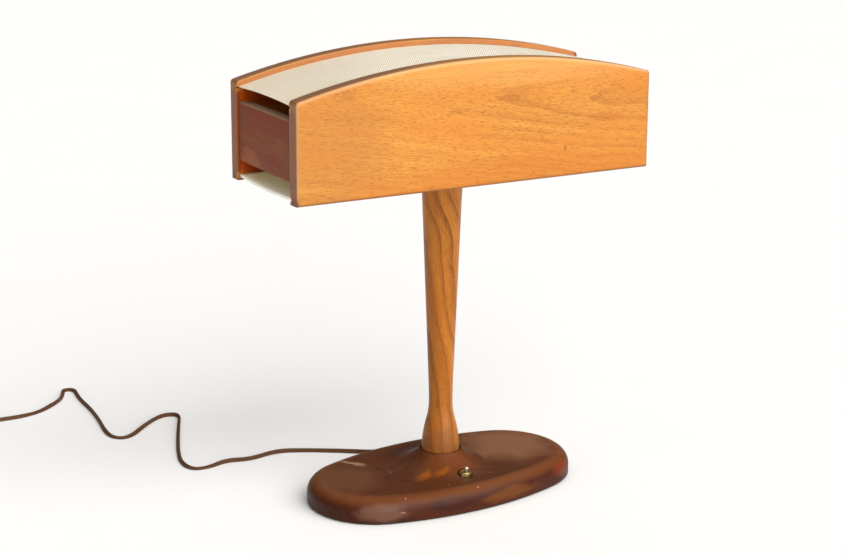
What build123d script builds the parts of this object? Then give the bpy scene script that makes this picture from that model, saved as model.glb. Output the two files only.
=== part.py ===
from build123d import *
from math import asin, cos, degrees, radians, sin, sqrt, tan
import os

# A desk lamp. Two long side boards, arched along the top, carry a thin translucent sheet
# above and two below, and stand on a turned post on an oval wooden base with a toggle
# switch. A twin cord leaves the back of the base, and its spare length is coiled.
# Millimetres, +Z up. The origin is on the table under the post's axis, the shade runs
# along X, and the front is -Y.

# ---- driving dimensions: shade ----
shade_length = 432  # along X, over the side boards
shade_depth = 168  # along Y, over the side boards
shade_bottom = 368  # height of the side boards' lower edges
board_thickness = 19
board_end_height = 108  # of a side board, at its ends
arch_rise = 29  # of a side board's top edge, from its ends to its middle
board_round = 4  # on the edges of a side board's outer face
board_ease = 1  # on the edges of its inner face, and on the end boards' long edges
board_corner = 4.5  # round the two ends of its top edge
end_board_inset = 2  # from the side boards' ends
end_board_low, end_board_high = 390, 454
end_board_thickness = 14

top_sheet_thickness = 1.2
top_sheet_drop = 6.2  # of its edges below the side boards' top edges
top_sheet_crown = 2.3  # rise from its edges to its middle
low_sheet_thickness = 3
low_sheet_height = 371.5  # of its lower face, at its edges
low_sheet_sag = 2.5
low_sheet_joint = 0.5  # gap where the two lower sheets meet
sheet_end_inset = 3  # from the side boards' ends
sheet_entry = 2  # into each groove
groove_depth = 3
groove_play = 0.4  # on each face of a sheet
post_notch_radius = 25  # in the lower sheets, round the post

bridge_length, bridge_height, bridge_low = 70, 22, 376
dowel_diameter, dowel_length, dowel_in_side = 8, 30, 12
dowel_play = 0.05  # all round a dowel
end_dowel_heights = (404, 440)
bridge_dowel_x = 20

# ---- driving dimensions: post and base ----
post_top_radius, post_neck_radius, post_foot_radius = 23.5, 13.5, 21.6
taper_end_height, taper_end_radius = 131, 14.05
neck_height, foot_height = 103, 44
cove_share = 0.35  # of the flare below the neck, that is hollow above the swell

base_turn = 4  # degrees anticlockwise, seen from above, against the shade
base_half_length, base_half_depth, base_end_radius = 164, 91, 77
base_bottom, base_top = 1.5, 28.4
base_round, base_break = 16, 1.5
boss_top, boss_radius, boss_reach = 47, 24, 66
post_seat_radius = 22.5
felt_inset = 3
channel_width, channel_front, channel_rear, channel_top = 42, -62, 69, 17
channel_corner = 8
ballast_x, ballast_length, ballast_depth, ballast_thickness = 72, 80, 96, 12
ballast_play = 0.4
screw_y, screw_radius, screw_in_wood, screw_play = 32, 2, 9, 0.1

# ---- driving dimensions: lamps and wiring ----
pipe_radius, pipe_bore_radius, pipe_hole_radius = 5, 3.75, 5.4
pipe_low, pipe_high = 8, 409
nut_flats, nut_height = 14, 5
low_washer_radius, top_washer_radius, washer_thickness = 14, 13, 1.5
thread_play = 0.05
lamp_height = 428
bracket_width, bracket_thickness, bracket_half_length, bracket_bend = 20, 1.5, 24, 2.5
ear_hole_radius = 3.5
holder_back_radius, holder_radius, holder_length = 12, 18, 36
shell_radius, shell_wall, shell_length = 14.25, 0.7, 22
shell_start = 12  # from the holder's back
cap_radius, cap_wall, cap_length, cap_button_radius = 13.2, 0.8, 25, 4.5
glass_radius, glass_neck_radius, glass_wall, lamp_length = 16, 12.2, 1, 140
lead_radius, lead_offset, lead_height, lead_bend, lead_top_bend = 1.5, 1.7, 5, 3.4, 10
terminal_length, terminal_depth, terminal_height, terminal_front = 22, 16, 14, 20
switch_lead_radius, switch_lead_x, switch_lead_height = 1.2, 8, 8

switch_y = -51  # on the base's own front centreline
switch_length, switch_depth, switch_height = 30, 16, 17
switch_pocket_length, switch_pocket_depth, switch_pocket_top = 34, 20, 21
spot_face_radius, spot_face_height = 9, 28.7
switch_neck_radius, switch_neck_top, lever_bore_radius, lever_bore_low = 6, 33, 3.4, 23.8
ring_radius, ring_thickness = 8.5, 0.8
dress_nut_flats, dress_nut_height = 14, 2.4
pivot_height, pivot_radius = 27, 3
lever_tip, lever_tip_radius, lever_lean = 10.4, 2.75, 12
lever_root_radius, lever_top_radius = 1.2, 1.7

# ---- driving dimensions: cord ----
cord_radius = 2.5
cord_height = 3.1  # of the cord's axis, where it lies on the table
cord_exit_height = 8.5
bushing_flange_radius, bushing_flange, bushing_sleeve_radius, bushing_play = 5.5, 1.5, 4.2, 0.05
coil_start_x, coil_start_y = -448, 456
coil_radius, coil_pitch, coil_rise, coil_layer_half_turns = 31, 5.6, 5.9, 4
coil_exit_run = 47
tie_width, tie_thickness, tie_play, tie_side_play = 7, 0.5, 0.1, 0.5
plug_neck_start, plug_neck_end, plug_neck_length = 3.4, 4.6, 9
plug_length, plug_width, plug_corner, plug_round = 27, 26, 7, 3
blade_length, blade_width, blade_thickness, blade_spacing = 17, 6.4, 1.5, 12.7
blade_hole_radius, blade_hole_from_tip = 1.6, 4.5

# ---- worked out from those ----
half_length = shade_length / 2
inner_y = shade_depth / 2 - board_thickness
arch_radius = (half_length**2 + arch_rise**2) / (2 * arch_rise)
arch_centre_z = shade_bottom + board_end_height + arch_rise - arch_radius
end_board_x = half_length - end_board_inset - end_board_thickness / 2
sheet_half_length = half_length - sheet_end_inset
sheet_half_width = inner_y + sheet_entry
sheet_radius = arch_radius - top_sheet_drop - top_sheet_thickness  # its edges' lower face
bridge_top = bridge_low + bridge_height
bracket_low = bridge_top + washer_thickness
lamp_axis = Axis((0, 0, lamp_height), (1, 0, 0))
base_plane = Plane.XY.rotated((0, 0, base_turn))
base_rear = Plane(origin=(0, 0, 0), x_dir=-base_plane.x_dir, z_dir=base_plane.y_dir)
ballast_top = base_bottom + ballast_thickness
ballast_places = [(-ballast_x, 0), (ballast_x, 0)]
screw_places = [(x, y) for x in (-ballast_x, ballast_x) for y in (-screw_y, screw_y)]
cord_exit_y = base_half_depth + bushing_flange

os.makedirs("parts", exist_ok=True)


def save(piece, name):
    """Name a finished piece and write it."""
    piece.part.label = name
    export_step(piece.part, f"parts/{name}.step")


def side_plane(side, distance):
    """An upright plane facing out of the front (side -1) or the rear (+1)."""
    return Plane(origin=(0, side * distance, 0), x_dir=(-side, 0, 0), z_dir=(0, side, 0))


def arch_z(radius, x):
    """Height at x of a circle about the arch's centre."""
    return arch_centre_z + sqrt(radius**2 - x**2)


def arch(radius, half):
    """The arc of such a circle from -half to half along X."""
    ends = [(x, arch_z(radius, x)) for x in (-half, half)]
    return ThreePointArc(ends[0], (0, arch_centre_z + radius), ends[1])


def oval(inset=0):
    """The base's outline, four tangent arcs, drawn in by the inset."""
    long, deep, end = (size - inset for size in (base_half_length, base_half_depth, base_end_radius))
    end_x = long - end
    side = (end_x**2 + deep**2 - end**2) / (2 * (deep - end))
    joint_x = end_x * side / (side - end)
    joint_y = (side - deep) * end / (side - end)
    with BuildLine() as outline:
        for way in (1, -1):
            ThreePointArc((-joint_x, way * joint_y), (0, way * deep), (joint_x, way * joint_y))
            ThreePointArc((way * joint_x, joint_y), (way * long, 0), (way * joint_x, -joint_y))
    make_face(outline.edges())


def sheet_section(height, rise, thickness):
    """A sheet's cross-section: its edges at the height, its middle higher by the rise."""
    with BuildLine() as outline:
        for face in (height, height + thickness):
            ThreePointArc((-sheet_half_width, face), (0, face + rise), (sheet_half_width, face))
        for edge in (-sheet_half_width, sheet_half_width):
            Line((edge, height), (edge, height + thickness))
    make_face(outline.edges())


def turned(side, *stations):
    """A body turned about the lamps' axis, from (distance from the post, radius) pairs."""
    with BuildSketch(Plane.XZ) as section:
        with BuildLine():
            Polyline(*((side * along, lamp_height + radius) for along, radius in stations), close=True)
        make_face()
    revolve(section.sketch, axis=lamp_axis)


def glass_section(side, start, radius, neck):
    """Half the lamp glass's outline: neck, shoulder, tube and round end."""
    shoulder, end = neck_end + 5, glass_end - (glass_radius - radius)
    mouth = Polyline(
        (side * start, lamp_height),
        (side * start, lamp_height + neck),
        (side * neck_end, lamp_height + neck),
        (side * shoulder, lamp_height + radius),
        (side * (end - radius), lamp_height + radius),
    )
    slant = radius * sqrt(0.5)
    middle = (side * (end - radius + slant), lamp_height + slant)
    ThreePointArc(mouth @ 1, middle, (side * end, lamp_height))
    Line((side * end, lamp_height), mouth @ 0)


def wire(points, bends, radius):
    """A round wire along straight runs joined by tangent arcs."""
    with BuildLine() as route:
        FilletPolyline(*points, radius=bends)
    path = route.wire()
    with BuildSketch(Plane(origin=path @ 0, z_dir=path % 0)) as section:
        Circle(radius)
    sweep(section.sketch, path=path)
    return path.length


def cord_bends(points):
    """Each corner's radius: 0.45 of its shorter run, over the tangent of half its turn."""
    bends = []
    for before, here, after in zip(points, points[1:], points[2:]):
        run_in, run_out = Vector(here) - Vector(before), Vector(after) - Vector(here)
        half_turn = radians(run_in.get_angle(run_out)) / 2
        bends.append(0.45 * min(run_in.length, run_out.length) / tan(half_turn))
    return bends


# ---- shade: side boards, end boards, bridge and dowels ----
end_dowels = [(x, z) for x in (-end_board_x, end_board_x) for z in end_dowel_heights]
bridge_dowels = [(x, bridge_low + bridge_height / 2) for x in (-bridge_dowel_x, bridge_dowel_x)]
groove_low = sheet_radius - groove_play
groove_high = sheet_radius + top_sheet_thickness + groove_play
groove_half = half_length + 1

for side, name in ((-1, "front_board"), (1, "rear_board")):
    with BuildPart() as board:
        with BuildSketch(side_plane(side, inner_y)):
            with BuildLine():
                top_edge = arch(arch_radius, half_length)
                corners = [(x, shade_bottom) for x in (-half_length, half_length)]
                Polyline(top_edge @ 0, *corners, top_edge @ 1)
            make_face()
        extrude(amount=board_thickness)
        fillet(board.edges().filter_by(Axis.Y).group_by(Axis.Z)[-1], radius=board_corner)
        fillet(board.faces().sort_by(Axis.Y)[0 if side < 0 else -1].edges(), radius=board_round)
        fillet(board.faces().sort_by(Axis.Y)[-1 if side < 0 else 0].edges(), radius=board_ease)
        with BuildSketch(side_plane(side, inner_y)):
            with BuildLine():
                low_edge = arch(groove_low, groove_half)
                high_edge = arch(groove_high, groove_half)
                Line(low_edge @ 0, high_edge @ 0)
                Line(low_edge @ 1, high_edge @ 1)
            make_face()
            with Locations((0, low_sheet_height + low_sheet_thickness / 2)):
                Rectangle(2 * groove_half, low_sheet_thickness + 2 * groove_play)
        extrude(amount=groove_depth, mode=Mode.SUBTRACT)
        with BuildSketch(side_plane(side, inner_y)):
            with Locations(*end_dowels, *bridge_dowels):
                Circle(dowel_diameter / 2 + dowel_play)
        extrude(amount=dowel_in_side, mode=Mode.SUBTRACT)
    save(board, name)

for side, name in ((-1, "left_end_board"), (1, "right_end_board")):
    with BuildPart() as end_board:
        with BuildSketch(Plane.XY.offset(end_board_low)):
            with Locations((side * end_board_x, 0)):
                Rectangle(end_board_thickness, 2 * inner_y)
        extrude(amount=end_board_high - end_board_low)
        fillet(end_board.edges().filter_by(Axis.Y), radius=board_ease)
        for face in (-1, 1):
            with BuildSketch(side_plane(face, inner_y)):
                with Locations(*((-face * side * end_board_x, z) for z in end_dowel_heights)):
                    Circle(dowel_diameter / 2 + dowel_play)
            extrude(amount=dowel_in_side - dowel_length, mode=Mode.SUBTRACT)
    save(end_board, name)

with BuildPart() as bridge_block:
    with BuildSketch(Plane.XY.offset(bridge_low)):
        Rectangle(bridge_length, 2 * inner_y)
        Circle(pipe_hole_radius, mode=Mode.SUBTRACT)
    extrude(amount=bridge_height)
    for face in (-1, 1):
        with BuildSketch(side_plane(face, inner_y)):
            with Locations(*bridge_dowels):
                Circle(dowel_diameter / 2 + dowel_play)
        extrude(amount=dowel_in_side - dowel_length, mode=Mode.SUBTRACT)
save(bridge_block, "bridge_block")

for places, name in ((end_dowels, "end_board_dowels"), (bridge_dowels, "bridge_dowels")):
    with BuildPart() as dowels:
        for side in (-1, 1):
            with BuildSketch(side_plane(side, inner_y + dowel_in_side - dowel_length)):
                with Locations(*places):
                    Circle(dowel_diameter / 2)
            extrude(amount=dowel_length)
    save(dowels, name)

# ---- translucent sheets, let into the side boards' grooves ----
end_angle = asin(sheet_half_length / (sheet_radius + top_sheet_thickness))
arch_axis = Axis((0, 0, arch_centre_z), (0, 1, 0))
with BuildPart() as top_diffuser:
    along = (cos(end_angle), 0, sin(end_angle))
    with BuildSketch(Plane(origin=arch_axis.position, x_dir=arch_axis.direction, z_dir=along)):
        sheet_section(sheet_radius, top_sheet_crown, top_sheet_thickness)
    revolve(axis=arch_axis, revolution_arc=2 * degrees(end_angle))
save(top_diffuser, "top_diffuser")

for side, name in ((-1, "left_low_diffuser"), (1, "right_low_diffuser")):
    with BuildPart() as low_diffuser:
        with BuildSketch(Plane.YZ.offset(side * low_sheet_joint / 2)):
            sheet_section(low_sheet_height, -low_sheet_sag, low_sheet_thickness)
        extrude(amount=side * (sheet_half_length - low_sheet_joint / 2))
        with BuildSketch(Plane.XY.offset(shade_bottom)):
            Circle(post_notch_radius)
        extrude(amount=bridge_low - shade_bottom, mode=Mode.SUBTRACT)
    save(low_diffuser, name)

# ---- post ----
with BuildPart() as post:
    with BuildSketch(Plane.XZ):
        with BuildLine():
            neck, foot = (post_neck_radius, neck_height), (post_foot_radius, foot_height)
            taper_end = (taper_end_radius, taper_end_height)
            swell = tuple(a + cove_share * (b - a) for a, b in zip(neck, foot))
            cove = TangentArc(neck, swell, tangent=(0, -1))
            TangentArc(swell, foot, tangent=cove % 1)
            TangentArc(neck, taper_end, tangent=(0, 1))
            Polyline(
                taper_end,
                (post_top_radius, bridge_low),
                (pipe_hole_radius, bridge_low),
                (pipe_hole_radius, foot_height),
                foot,
            )
        make_face()
    revolve(axis=Axis.Z)
save(post, "post")

# ---- base, ballast and felt ----
with BuildPart() as base:
    with BuildSketch(base_plane.offset(base_bottom)):
        oval()
    extrude(amount=base_top - base_bottom)
    fillet(base.faces().sort_by(Axis.Z)[-1].edges(), radius=base_round)
    fillet(base.faces().sort_by(Axis.Z)[0].edges(), radius=base_break)
    with BuildSketch(Plane.XZ):
        with BuildLine():
            rim, crest = (boss_reach, base_top), (boss_radius, boss_top)
            TangentArc(rim, crest, tangent=(-1, 0))
            Polyline(crest, (0, boss_top), (0, channel_top), (boss_reach, channel_top), rim)
        make_face()
    revolve(axis=Axis.Z)
    with BuildSketch(base_plane.offset(foot_height)):
        Circle(post_seat_radius)
    extrude(amount=boss_top - foot_height, mode=Mode.SUBTRACT)
    with BuildSketch(base_plane.offset(base_bottom)):
        with Locations((0, (channel_front + channel_rear) / 2)):
            RectangleRounded(channel_width, channel_rear - channel_front, channel_corner)
    extrude(amount=channel_top - base_bottom, mode=Mode.SUBTRACT)
    with BuildSketch(base_plane.offset(channel_top)):
        Circle(pipe_hole_radius)
    extrude(amount=boss_top - channel_top, mode=Mode.SUBTRACT)
    with BuildSketch(base_plane.offset(channel_top)):
        with Locations((0, switch_y)):
            Rectangle(switch_pocket_length, switch_pocket_depth)
    extrude(amount=switch_pocket_top - channel_top, mode=Mode.SUBTRACT)
    with BuildSketch(base_plane.offset(switch_pocket_top)):
        with Locations((0, switch_y)):
            Circle(switch_neck_radius + screw_play)
    extrude(amount=boss_top - switch_pocket_top, mode=Mode.SUBTRACT)
    with BuildSketch(base_plane.offset(spot_face_height)):
        with Locations((0, switch_y)):
            Circle(spot_face_radius)
    extrude(amount=boss_top - spot_face_height, mode=Mode.SUBTRACT)
    with BuildSketch(base_plane.offset(base_bottom)):
        with Locations(*ballast_places):
            recess = (ballast_length + 2 * ballast_play, ballast_depth + 2 * ballast_play)
            RectangleRounded(*recess, channel_corner)
    extrude(amount=ballast_thickness, mode=Mode.SUBTRACT)
    with BuildSketch(base_plane.offset(ballast_top)):
        with Locations(*screw_places):
            Circle(screw_radius * 0.75)
    extrude(amount=screw_in_wood, mode=Mode.SUBTRACT)
    with BuildSketch(base_rear.offset(channel_rear - 1)):
        with Locations((0, cord_exit_height)):
            Circle(bushing_sleeve_radius + bushing_play)
    extrude(amount=base_half_depth, mode=Mode.SUBTRACT)
save(base, "base")

for side, name in ((-1, "left_ballast"), (1, "right_ballast")):
    with BuildPart() as ballast:
        with BuildSketch(base_plane.offset(base_bottom)):
            with Locations((side * ballast_x, 0)):
                RectangleRounded(ballast_length, ballast_depth, channel_corner)
            with Locations((side * ballast_x, -screw_y), (side * ballast_x, screw_y)):
                Circle(screw_radius + screw_play, mode=Mode.SUBTRACT)
        extrude(amount=ballast_thickness)
        with BuildSketch(base_plane.offset(base_bottom)):
            with Locations((side * ballast_x, -screw_y), (side * ballast_x, screw_y)):
                Circle(2 * screw_radius + screw_play)
        extrude(amount=screw_radius, taper=45, mode=Mode.SUBTRACT)
    save(ballast, name)

with BuildPart() as ballast_screws:
    with BuildSketch(base_plane.offset(base_bottom + screw_play)):
        with Locations(*screw_places):
            Circle(screw_radius * 2 - screw_play)
    extrude(amount=screw_radius, taper=45)
    with BuildSketch(base_plane.offset(base_bottom + screw_play)):
        with Locations(*screw_places):
            Circle(screw_radius)
    extrude(amount=ballast_thickness - 2 * screw_play)
    with BuildSketch(base_plane.offset(ballast_top - screw_play)):
        with Locations(*screw_places):
            Circle(screw_radius * 0.75 - screw_play)
    extrude(amount=screw_in_wood - screw_play)
save(ballast_screws, "ballast_screws")

with BuildPart() as felt_pad:
    with BuildSketch(base_plane):
        oval(felt_inset)
    extrude(amount=base_bottom)
save(felt_pad, "felt_pad")

# ---- pipe that clamps base, post and bridge together, with its nuts and washers ----
with BuildPart() as lamp_pipe:
    with BuildSketch(Plane.XY.offset(pipe_low)):
        Circle(pipe_radius)
        Circle(pipe_bore_radius, mode=Mode.SUBTRACT)
    extrude(amount=pipe_high - pipe_low)
save(lamp_pipe, "lamp_pipe")

low_washer_low = channel_top - washer_thickness
for height, radius, name in (
    (low_washer_low, low_washer_radius, "low_washer"),
    (bridge_top, top_washer_radius, "top_washer"),
):
    with BuildPart() as washer:
        with BuildSketch(base_plane.offset(height)):
            Circle(radius)
            Circle(pipe_radius + thread_play, mode=Mode.SUBTRACT)
        extrude(amount=washer_thickness)
    save(washer, name)

for height, name in (
    (low_washer_low - nut_height, "low_nut"),
    (bracket_low + bracket_thickness, "top_nut"),
):
    with BuildPart() as nut:
        with BuildSketch(base_plane.offset(height)):
            RegularPolygon(nut_flats / 2, 6, major_radius=False)
            Circle(pipe_radius + thread_play, mode=Mode.SUBTRACT)
        extrude(amount=nut_height)
    save(nut, name)

# ---- lampholders and lamps ----
with BuildPart() as lamp_bracket:
    with BuildSketch(Plane.XZ) as strap:
        with BuildLine():
            mid_x = bracket_half_length - bracket_thickness / 2
            mid_z = bracket_low + bracket_thickness / 2
            ear_top = lamp_height + bracket_width / 2
            left_ear, right_ear = [(-mid_x, ear_top), (-mid_x, mid_z)], [(mid_x, mid_z), (mid_x, ear_top)]
            FilletPolyline(*left_ear, *right_ear, radius=bracket_bend)
        trace(line_width=bracket_thickness)
    extrude(amount=bracket_width / 2, both=True)
    ear_edges = lamp_bracket.edges().filter_by(Axis.X).group_by(Axis.Z)[-1]
    fillet(ear_edges, radius=bracket_width / 2 - 0.1)
    with BuildSketch(Plane.XY.offset(bracket_low)):
        Circle(pipe_radius + thread_play)
    extrude(amount=bracket_thickness, mode=Mode.SUBTRACT)
    with BuildSketch(Plane.YZ.offset(-bracket_half_length)):
        with Locations((0, lamp_height)):
            Circle(ear_hole_radius)
    extrude(amount=2 * bracket_half_length, mode=Mode.SUBTRACT)
save(lamp_bracket, "lamp_bracket")

holder_back, holder_mouth = bracket_half_length, bracket_half_length + holder_length
shell_back = holder_back + shell_start
cap_back = shell_back + shell_wall
neck_end = cap_back + cap_length + 1
glass_start = neck_end - 7
glass_end = cap_back + lamp_length
for side, hand in ((-1, "left"), (1, "right")):
    with BuildPart() as lampholder:
        turned(
            side,
            (holder_back, 0),
            (holder_back, holder_back_radius),
            (holder_back + 4, holder_radius - 2),
            (holder_back + 10, holder_radius),
            (holder_mouth, holder_radius),
            (holder_mouth, shell_radius + thread_play),
            (shell_back, shell_radius + thread_play),
            (shell_back, 0),
        )
    save(lampholder, f"{hand}_lampholder")

    with BuildPart() as screw_shell:
        turned(
            side,
            (shell_back, 0),
            (shell_back, shell_radius),
            (shell_back + shell_length, shell_radius),
            (shell_back + shell_length, shell_radius - shell_wall),
            (cap_back, shell_radius - shell_wall),
            (cap_back, 0),
        )
    save(screw_shell, f"{hand}_screw_shell")

    with BuildPart() as lamp_cap:
        turned(
            side,
            (cap_back, 0),
            (cap_back, cap_button_radius),
            (cap_back + 4, cap_radius),
            (cap_back + cap_length, cap_radius),
            (cap_back + cap_length, cap_radius - cap_wall),
            (cap_back + 5, cap_radius - cap_wall),
            (cap_back + 2, 0),
        )
    save(lamp_cap, f"{hand}_lamp_cap")

    with BuildPart() as lamp_glass:
        with BuildSketch(Plane.XZ):
            with BuildLine():
                glass_section(side, glass_start, glass_radius, glass_neck_radius)
            make_face()
            with BuildLine():
                inner_radius = glass_radius - glass_wall
                inner_neck = glass_neck_radius - glass_wall
                glass_section(side, glass_start, inner_radius, inner_neck)
            make_face(mode=Mode.SUBTRACT)
        revolve(axis=lamp_axis)
    save(lamp_glass, f"{hand}_lamp_glass")

    with BuildPart() as lamp_lead:
        foot_end = base_plane.from_local_coords((side * lead_offset, terminal_front, lead_height))
        turn_up = base_plane.from_local_coords((side * lead_offset, 0, lead_height))
        turn_out = (turn_up.X, turn_up.Y, lamp_height)
        holder_end = (side * holder_back, turn_up.Y, lamp_height)
        wire([foot_end, turn_up, turn_out, holder_end], [lead_bend, lead_top_bend], lead_radius)
    save(lamp_lead, f"{hand}_lamp_lead")

# ---- toggle switch ----
with BuildPart() as switch_body:
    with BuildSketch(base_plane.offset(switch_pocket_top - switch_height)):
        with Locations((0, switch_y)):
            Rectangle(switch_length, switch_depth)
    extrude(amount=switch_height)
save(switch_body, "switch_body")

with BuildPart() as switch_neck:
    with BuildSketch(base_plane.offset(switch_pocket_top)):
        with Locations((0, switch_y)):
            Circle(switch_neck_radius)
    extrude(amount=switch_neck_top - switch_pocket_top)
    with BuildSketch(base_plane.offset(lever_bore_low)):
        with Locations((0, switch_y)):
            Circle(lever_bore_radius)
    extrude(amount=switch_neck_top - lever_bore_low, mode=Mode.SUBTRACT)
save(switch_neck, "switch_neck")

with BuildPart() as switch_ring:
    with BuildSketch(base_plane.offset(spot_face_height)):
        with Locations((0, switch_y)):
            Circle(ring_radius)
            Circle(switch_neck_radius + thread_play, mode=Mode.SUBTRACT)
    extrude(amount=ring_thickness)
save(switch_ring, "switch_ring")

with BuildPart() as switch_nut:
    with BuildSketch(base_plane.offset(spot_face_height + ring_thickness)):
        with Locations((0, switch_y)):
            RegularPolygon(dress_nut_flats / 2, 6, major_radius=False)
            Circle(switch_neck_radius + thread_play, mode=Mode.SUBTRACT)
    extrude(amount=dress_nut_height)
save(switch_nut, "switch_nut")

lean = Location((0, switch_y, pivot_height), (lever_lean, 0, 0))
with BuildPart() as toggle_lever:
    with BuildSketch(Plane(base_plane.location * lean * Plane.XZ.location)):
        with BuildLine():
            root = (lever_root_radius, sqrt(pivot_radius**2 - lever_root_radius**2))
            bulb = (lever_top_radius, lever_tip - sqrt(lever_tip_radius**2 - lever_top_radius**2))
            ThreePointArc((0, -pivot_radius), (pivot_radius, 0), root)
            Line(root, bulb)
            ThreePointArc(bulb, (lever_tip_radius, lever_tip), (0, lever_tip + lever_tip_radius))
            Line((0, lever_tip + lever_tip_radius), (0, -pivot_radius))
        make_face()
    lever_axis = Plane(base_plane.location * lean).z_dir
    pivot = base_plane.from_local_coords((0, switch_y, pivot_height))
    revolve(axis=Axis(pivot, lever_axis))
save(toggle_lever, "toggle_lever")

# ---- wiring in the base ----
with BuildPart() as terminal_block:
    with BuildSketch(base_plane.offset(channel_top - terminal_height)):
        with Locations((0, terminal_front + terminal_depth / 2)):
            Rectangle(terminal_length, terminal_depth)
    extrude(amount=terminal_height)
    fillet(terminal_block.edges().filter_by(Axis.Z), radius=1.5)
save(terminal_block, "terminal_block")

switch_rear = switch_y + switch_depth / 2
with BuildPart() as switch_leads:
    with BuildSketch(base_rear.offset(switch_rear)):
        with Locations((-switch_lead_x, switch_lead_height), (switch_lead_x, switch_lead_height)):
            Circle(switch_lead_radius)
    extrude(amount=terminal_front - switch_rear)
save(switch_leads, "switch_leads")

terminal_rear = terminal_front + terminal_depth
with BuildPart() as cord_tail:
    with BuildSketch(base_rear.offset(terminal_rear)):
        with Locations((0, cord_exit_height)):
            Circle(cord_radius)
    extrude(amount=cord_exit_y - terminal_rear)
save(cord_tail, "cord_tail")

with BuildPart() as cord_bushing:
    with BuildSketch(base_rear.offset(channel_rear)):
        with Locations((0, cord_exit_height)):
            Circle(bushing_sleeve_radius)
    extrude(amount=base_half_depth - channel_rear)
    with BuildSketch(base_rear.offset(base_half_depth)):
        with Locations((0, cord_exit_height)):
            Circle(bushing_flange_radius)
    extrude(amount=bushing_flange)
    outer_face = cord_bushing.faces().sort_by(Axis((0, 0, 0), base_plane.y_dir))[-1]
    fillet(outer_face.edges(), radius=0.6)
    with BuildSketch(base_rear.offset(channel_rear)):
        with Locations((0, cord_exit_height)):
            Circle(cord_radius + bushing_play)
    extrude(amount=cord_exit_y - channel_rear, mode=Mode.SUBTRACT)
save(cord_bushing, "cord_bushing")

# ---- free cord, from the bushing to the coil ----
exit_face = base_plane.from_local_coords((0, cord_exit_y, cord_exit_height))
exit_ahead = base_plane.from_local_coords((0, cord_exit_y + 14, cord_exit_height))
lying = [
    (-25, 134),
    (-50, 151),
    (-86, 177),
    (-120, 192),
    (-160, 180),
    (-188, 192),
    (-211, 179),
    (-231, 179),
    (-234, 200),
    (-224, 236),
    (-205, 286),
    (-183, 333),
    (-168, 367),
    (-184, 385),
    (-207, 367),
    (-226, 347),
    (-246, 329),
    (-264, 316),
    (-275, 331),
    (-276, 355),
    (-268, 395),
    (-264, 440),
    (-258, 480),
    (-254, 508),
    (-251, 530),
    (-265, 534),
    (-271, 516),
    (-280, 498),
    (-299, 480),
    (-324, 463),
    (-354, 455),
    (-386, 458),
    (coil_start_x + 31, coil_start_y),
    (coil_start_x, coil_start_y),
]
route = [tuple(exit_face), tuple(exit_ahead), (-12, 121, 5.4), *((x, y, cord_height) for x, y in lying)]
bends = cord_bends(route)
with BuildPart() as power_cord:
    free_length = wire(route, bends, cord_radius)
save(power_cord, "power_cord")

# ---- coil: spirals in on the table, climbs a layer as it turns back, and spirals out ----
coil_points = []
with BuildPart() as cord_coil:
    with BuildLine() as winding:
        place = Vector(coil_start_x, coil_start_y, cord_height)
        Line(place, place - Vector(2 * cord_radius, 0, 0))
        place -= Vector(2 * cord_radius, 0, 0)
        for half_turn in range(2 * coil_layer_half_turns):
            inward = min(half_turn, 2 * (coil_layer_half_turns - 1) - half_turn)
            radius = coil_radius - inward * coil_pitch / 2
            way = 1 if half_turn % 2 else -1
            if half_turn == coil_layer_half_turns - 1:
                reach = sqrt(radius**2 + (coil_rise / 2) ** 2)
                middle = place + Vector(way * reach, way * radius, coil_rise / 2)
                rise = TangentArc(place, middle, tangent=(way, 0, 0))
                place += Vector(0, way * 2 * radius, coil_rise)
                TangentArc(middle, place, tangent=rise % 1)
            else:
                end = place + Vector(0, way * 2 * radius, 0)
                ThreePointArc(place, place + Vector(way * radius, way * radius, 0), end)
                place = end
        coil_end = place - Vector(coil_exit_run, 0, 0)
        Line(place, coil_end)
    winding_wire = winding.wire()
    with BuildSketch(Plane(origin=winding_wire @ 0, z_dir=winding_wire % 0)):
        Circle(cord_radius)
    sweep(path=winding_wire)
save(cord_coil, "cord_coil")

# ---- tie round the near side of the coil ----
coil_y = coil_start_y - coil_radius
tie_centre_y = coil_y - coil_radius
tie_inner_y = 2 * (coil_pitch + cord_radius + tie_side_play)
tie_inner_z = coil_rise + 2 * (cord_radius + tie_play)
tie_plane = Plane(
    origin=(coil_start_x - 2 * cord_radius - tie_width / 2, tie_centre_y, cord_height + coil_rise / 2),
    x_dir=(0, 1, 0),
    z_dir=(1, 0, 0),
)
with BuildPart() as cord_tie:
    with BuildSketch(tie_plane):
        outer = (tie_inner_y + 2 * tie_thickness, tie_inner_z + 2 * tie_thickness)
        RectangleRounded(*outer, cord_radius)
        RectangleRounded(tie_inner_y, tie_inner_z, cord_radius - tie_thickness, mode=Mode.SUBTRACT)
    extrude(amount=tie_width)
save(cord_tie, "cord_tie")

# ---- plug ----
plug_plane = Plane(origin=coil_end, x_dir=(0, -1, 0), z_dir=(-1, 0, 0))
plug_height = 2 * coil_end.Z
with BuildPart() as plug_body:
    with BuildSketch(plug_plane):
        Circle(plug_neck_start)
    with BuildSketch(plug_plane.offset(plug_neck_length)):
        Circle(plug_neck_end)
    loft()
    with BuildSketch(plug_plane.offset(plug_neck_length)):
        RectangleRounded(plug_width, plug_height, plug_corner)
    extrude(amount=plug_length)
    shoulder = plug_body.faces().filter_by(Axis.X).sort_by(Axis.X)[1]
    fillet(shoulder.outer_wire().edges(), radius=plug_round)
    fillet(plug_body.faces().sort_by(Axis.X)[0].edges(), radius=plug_round / 2)
save(plug_body, "plug_body")

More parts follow.
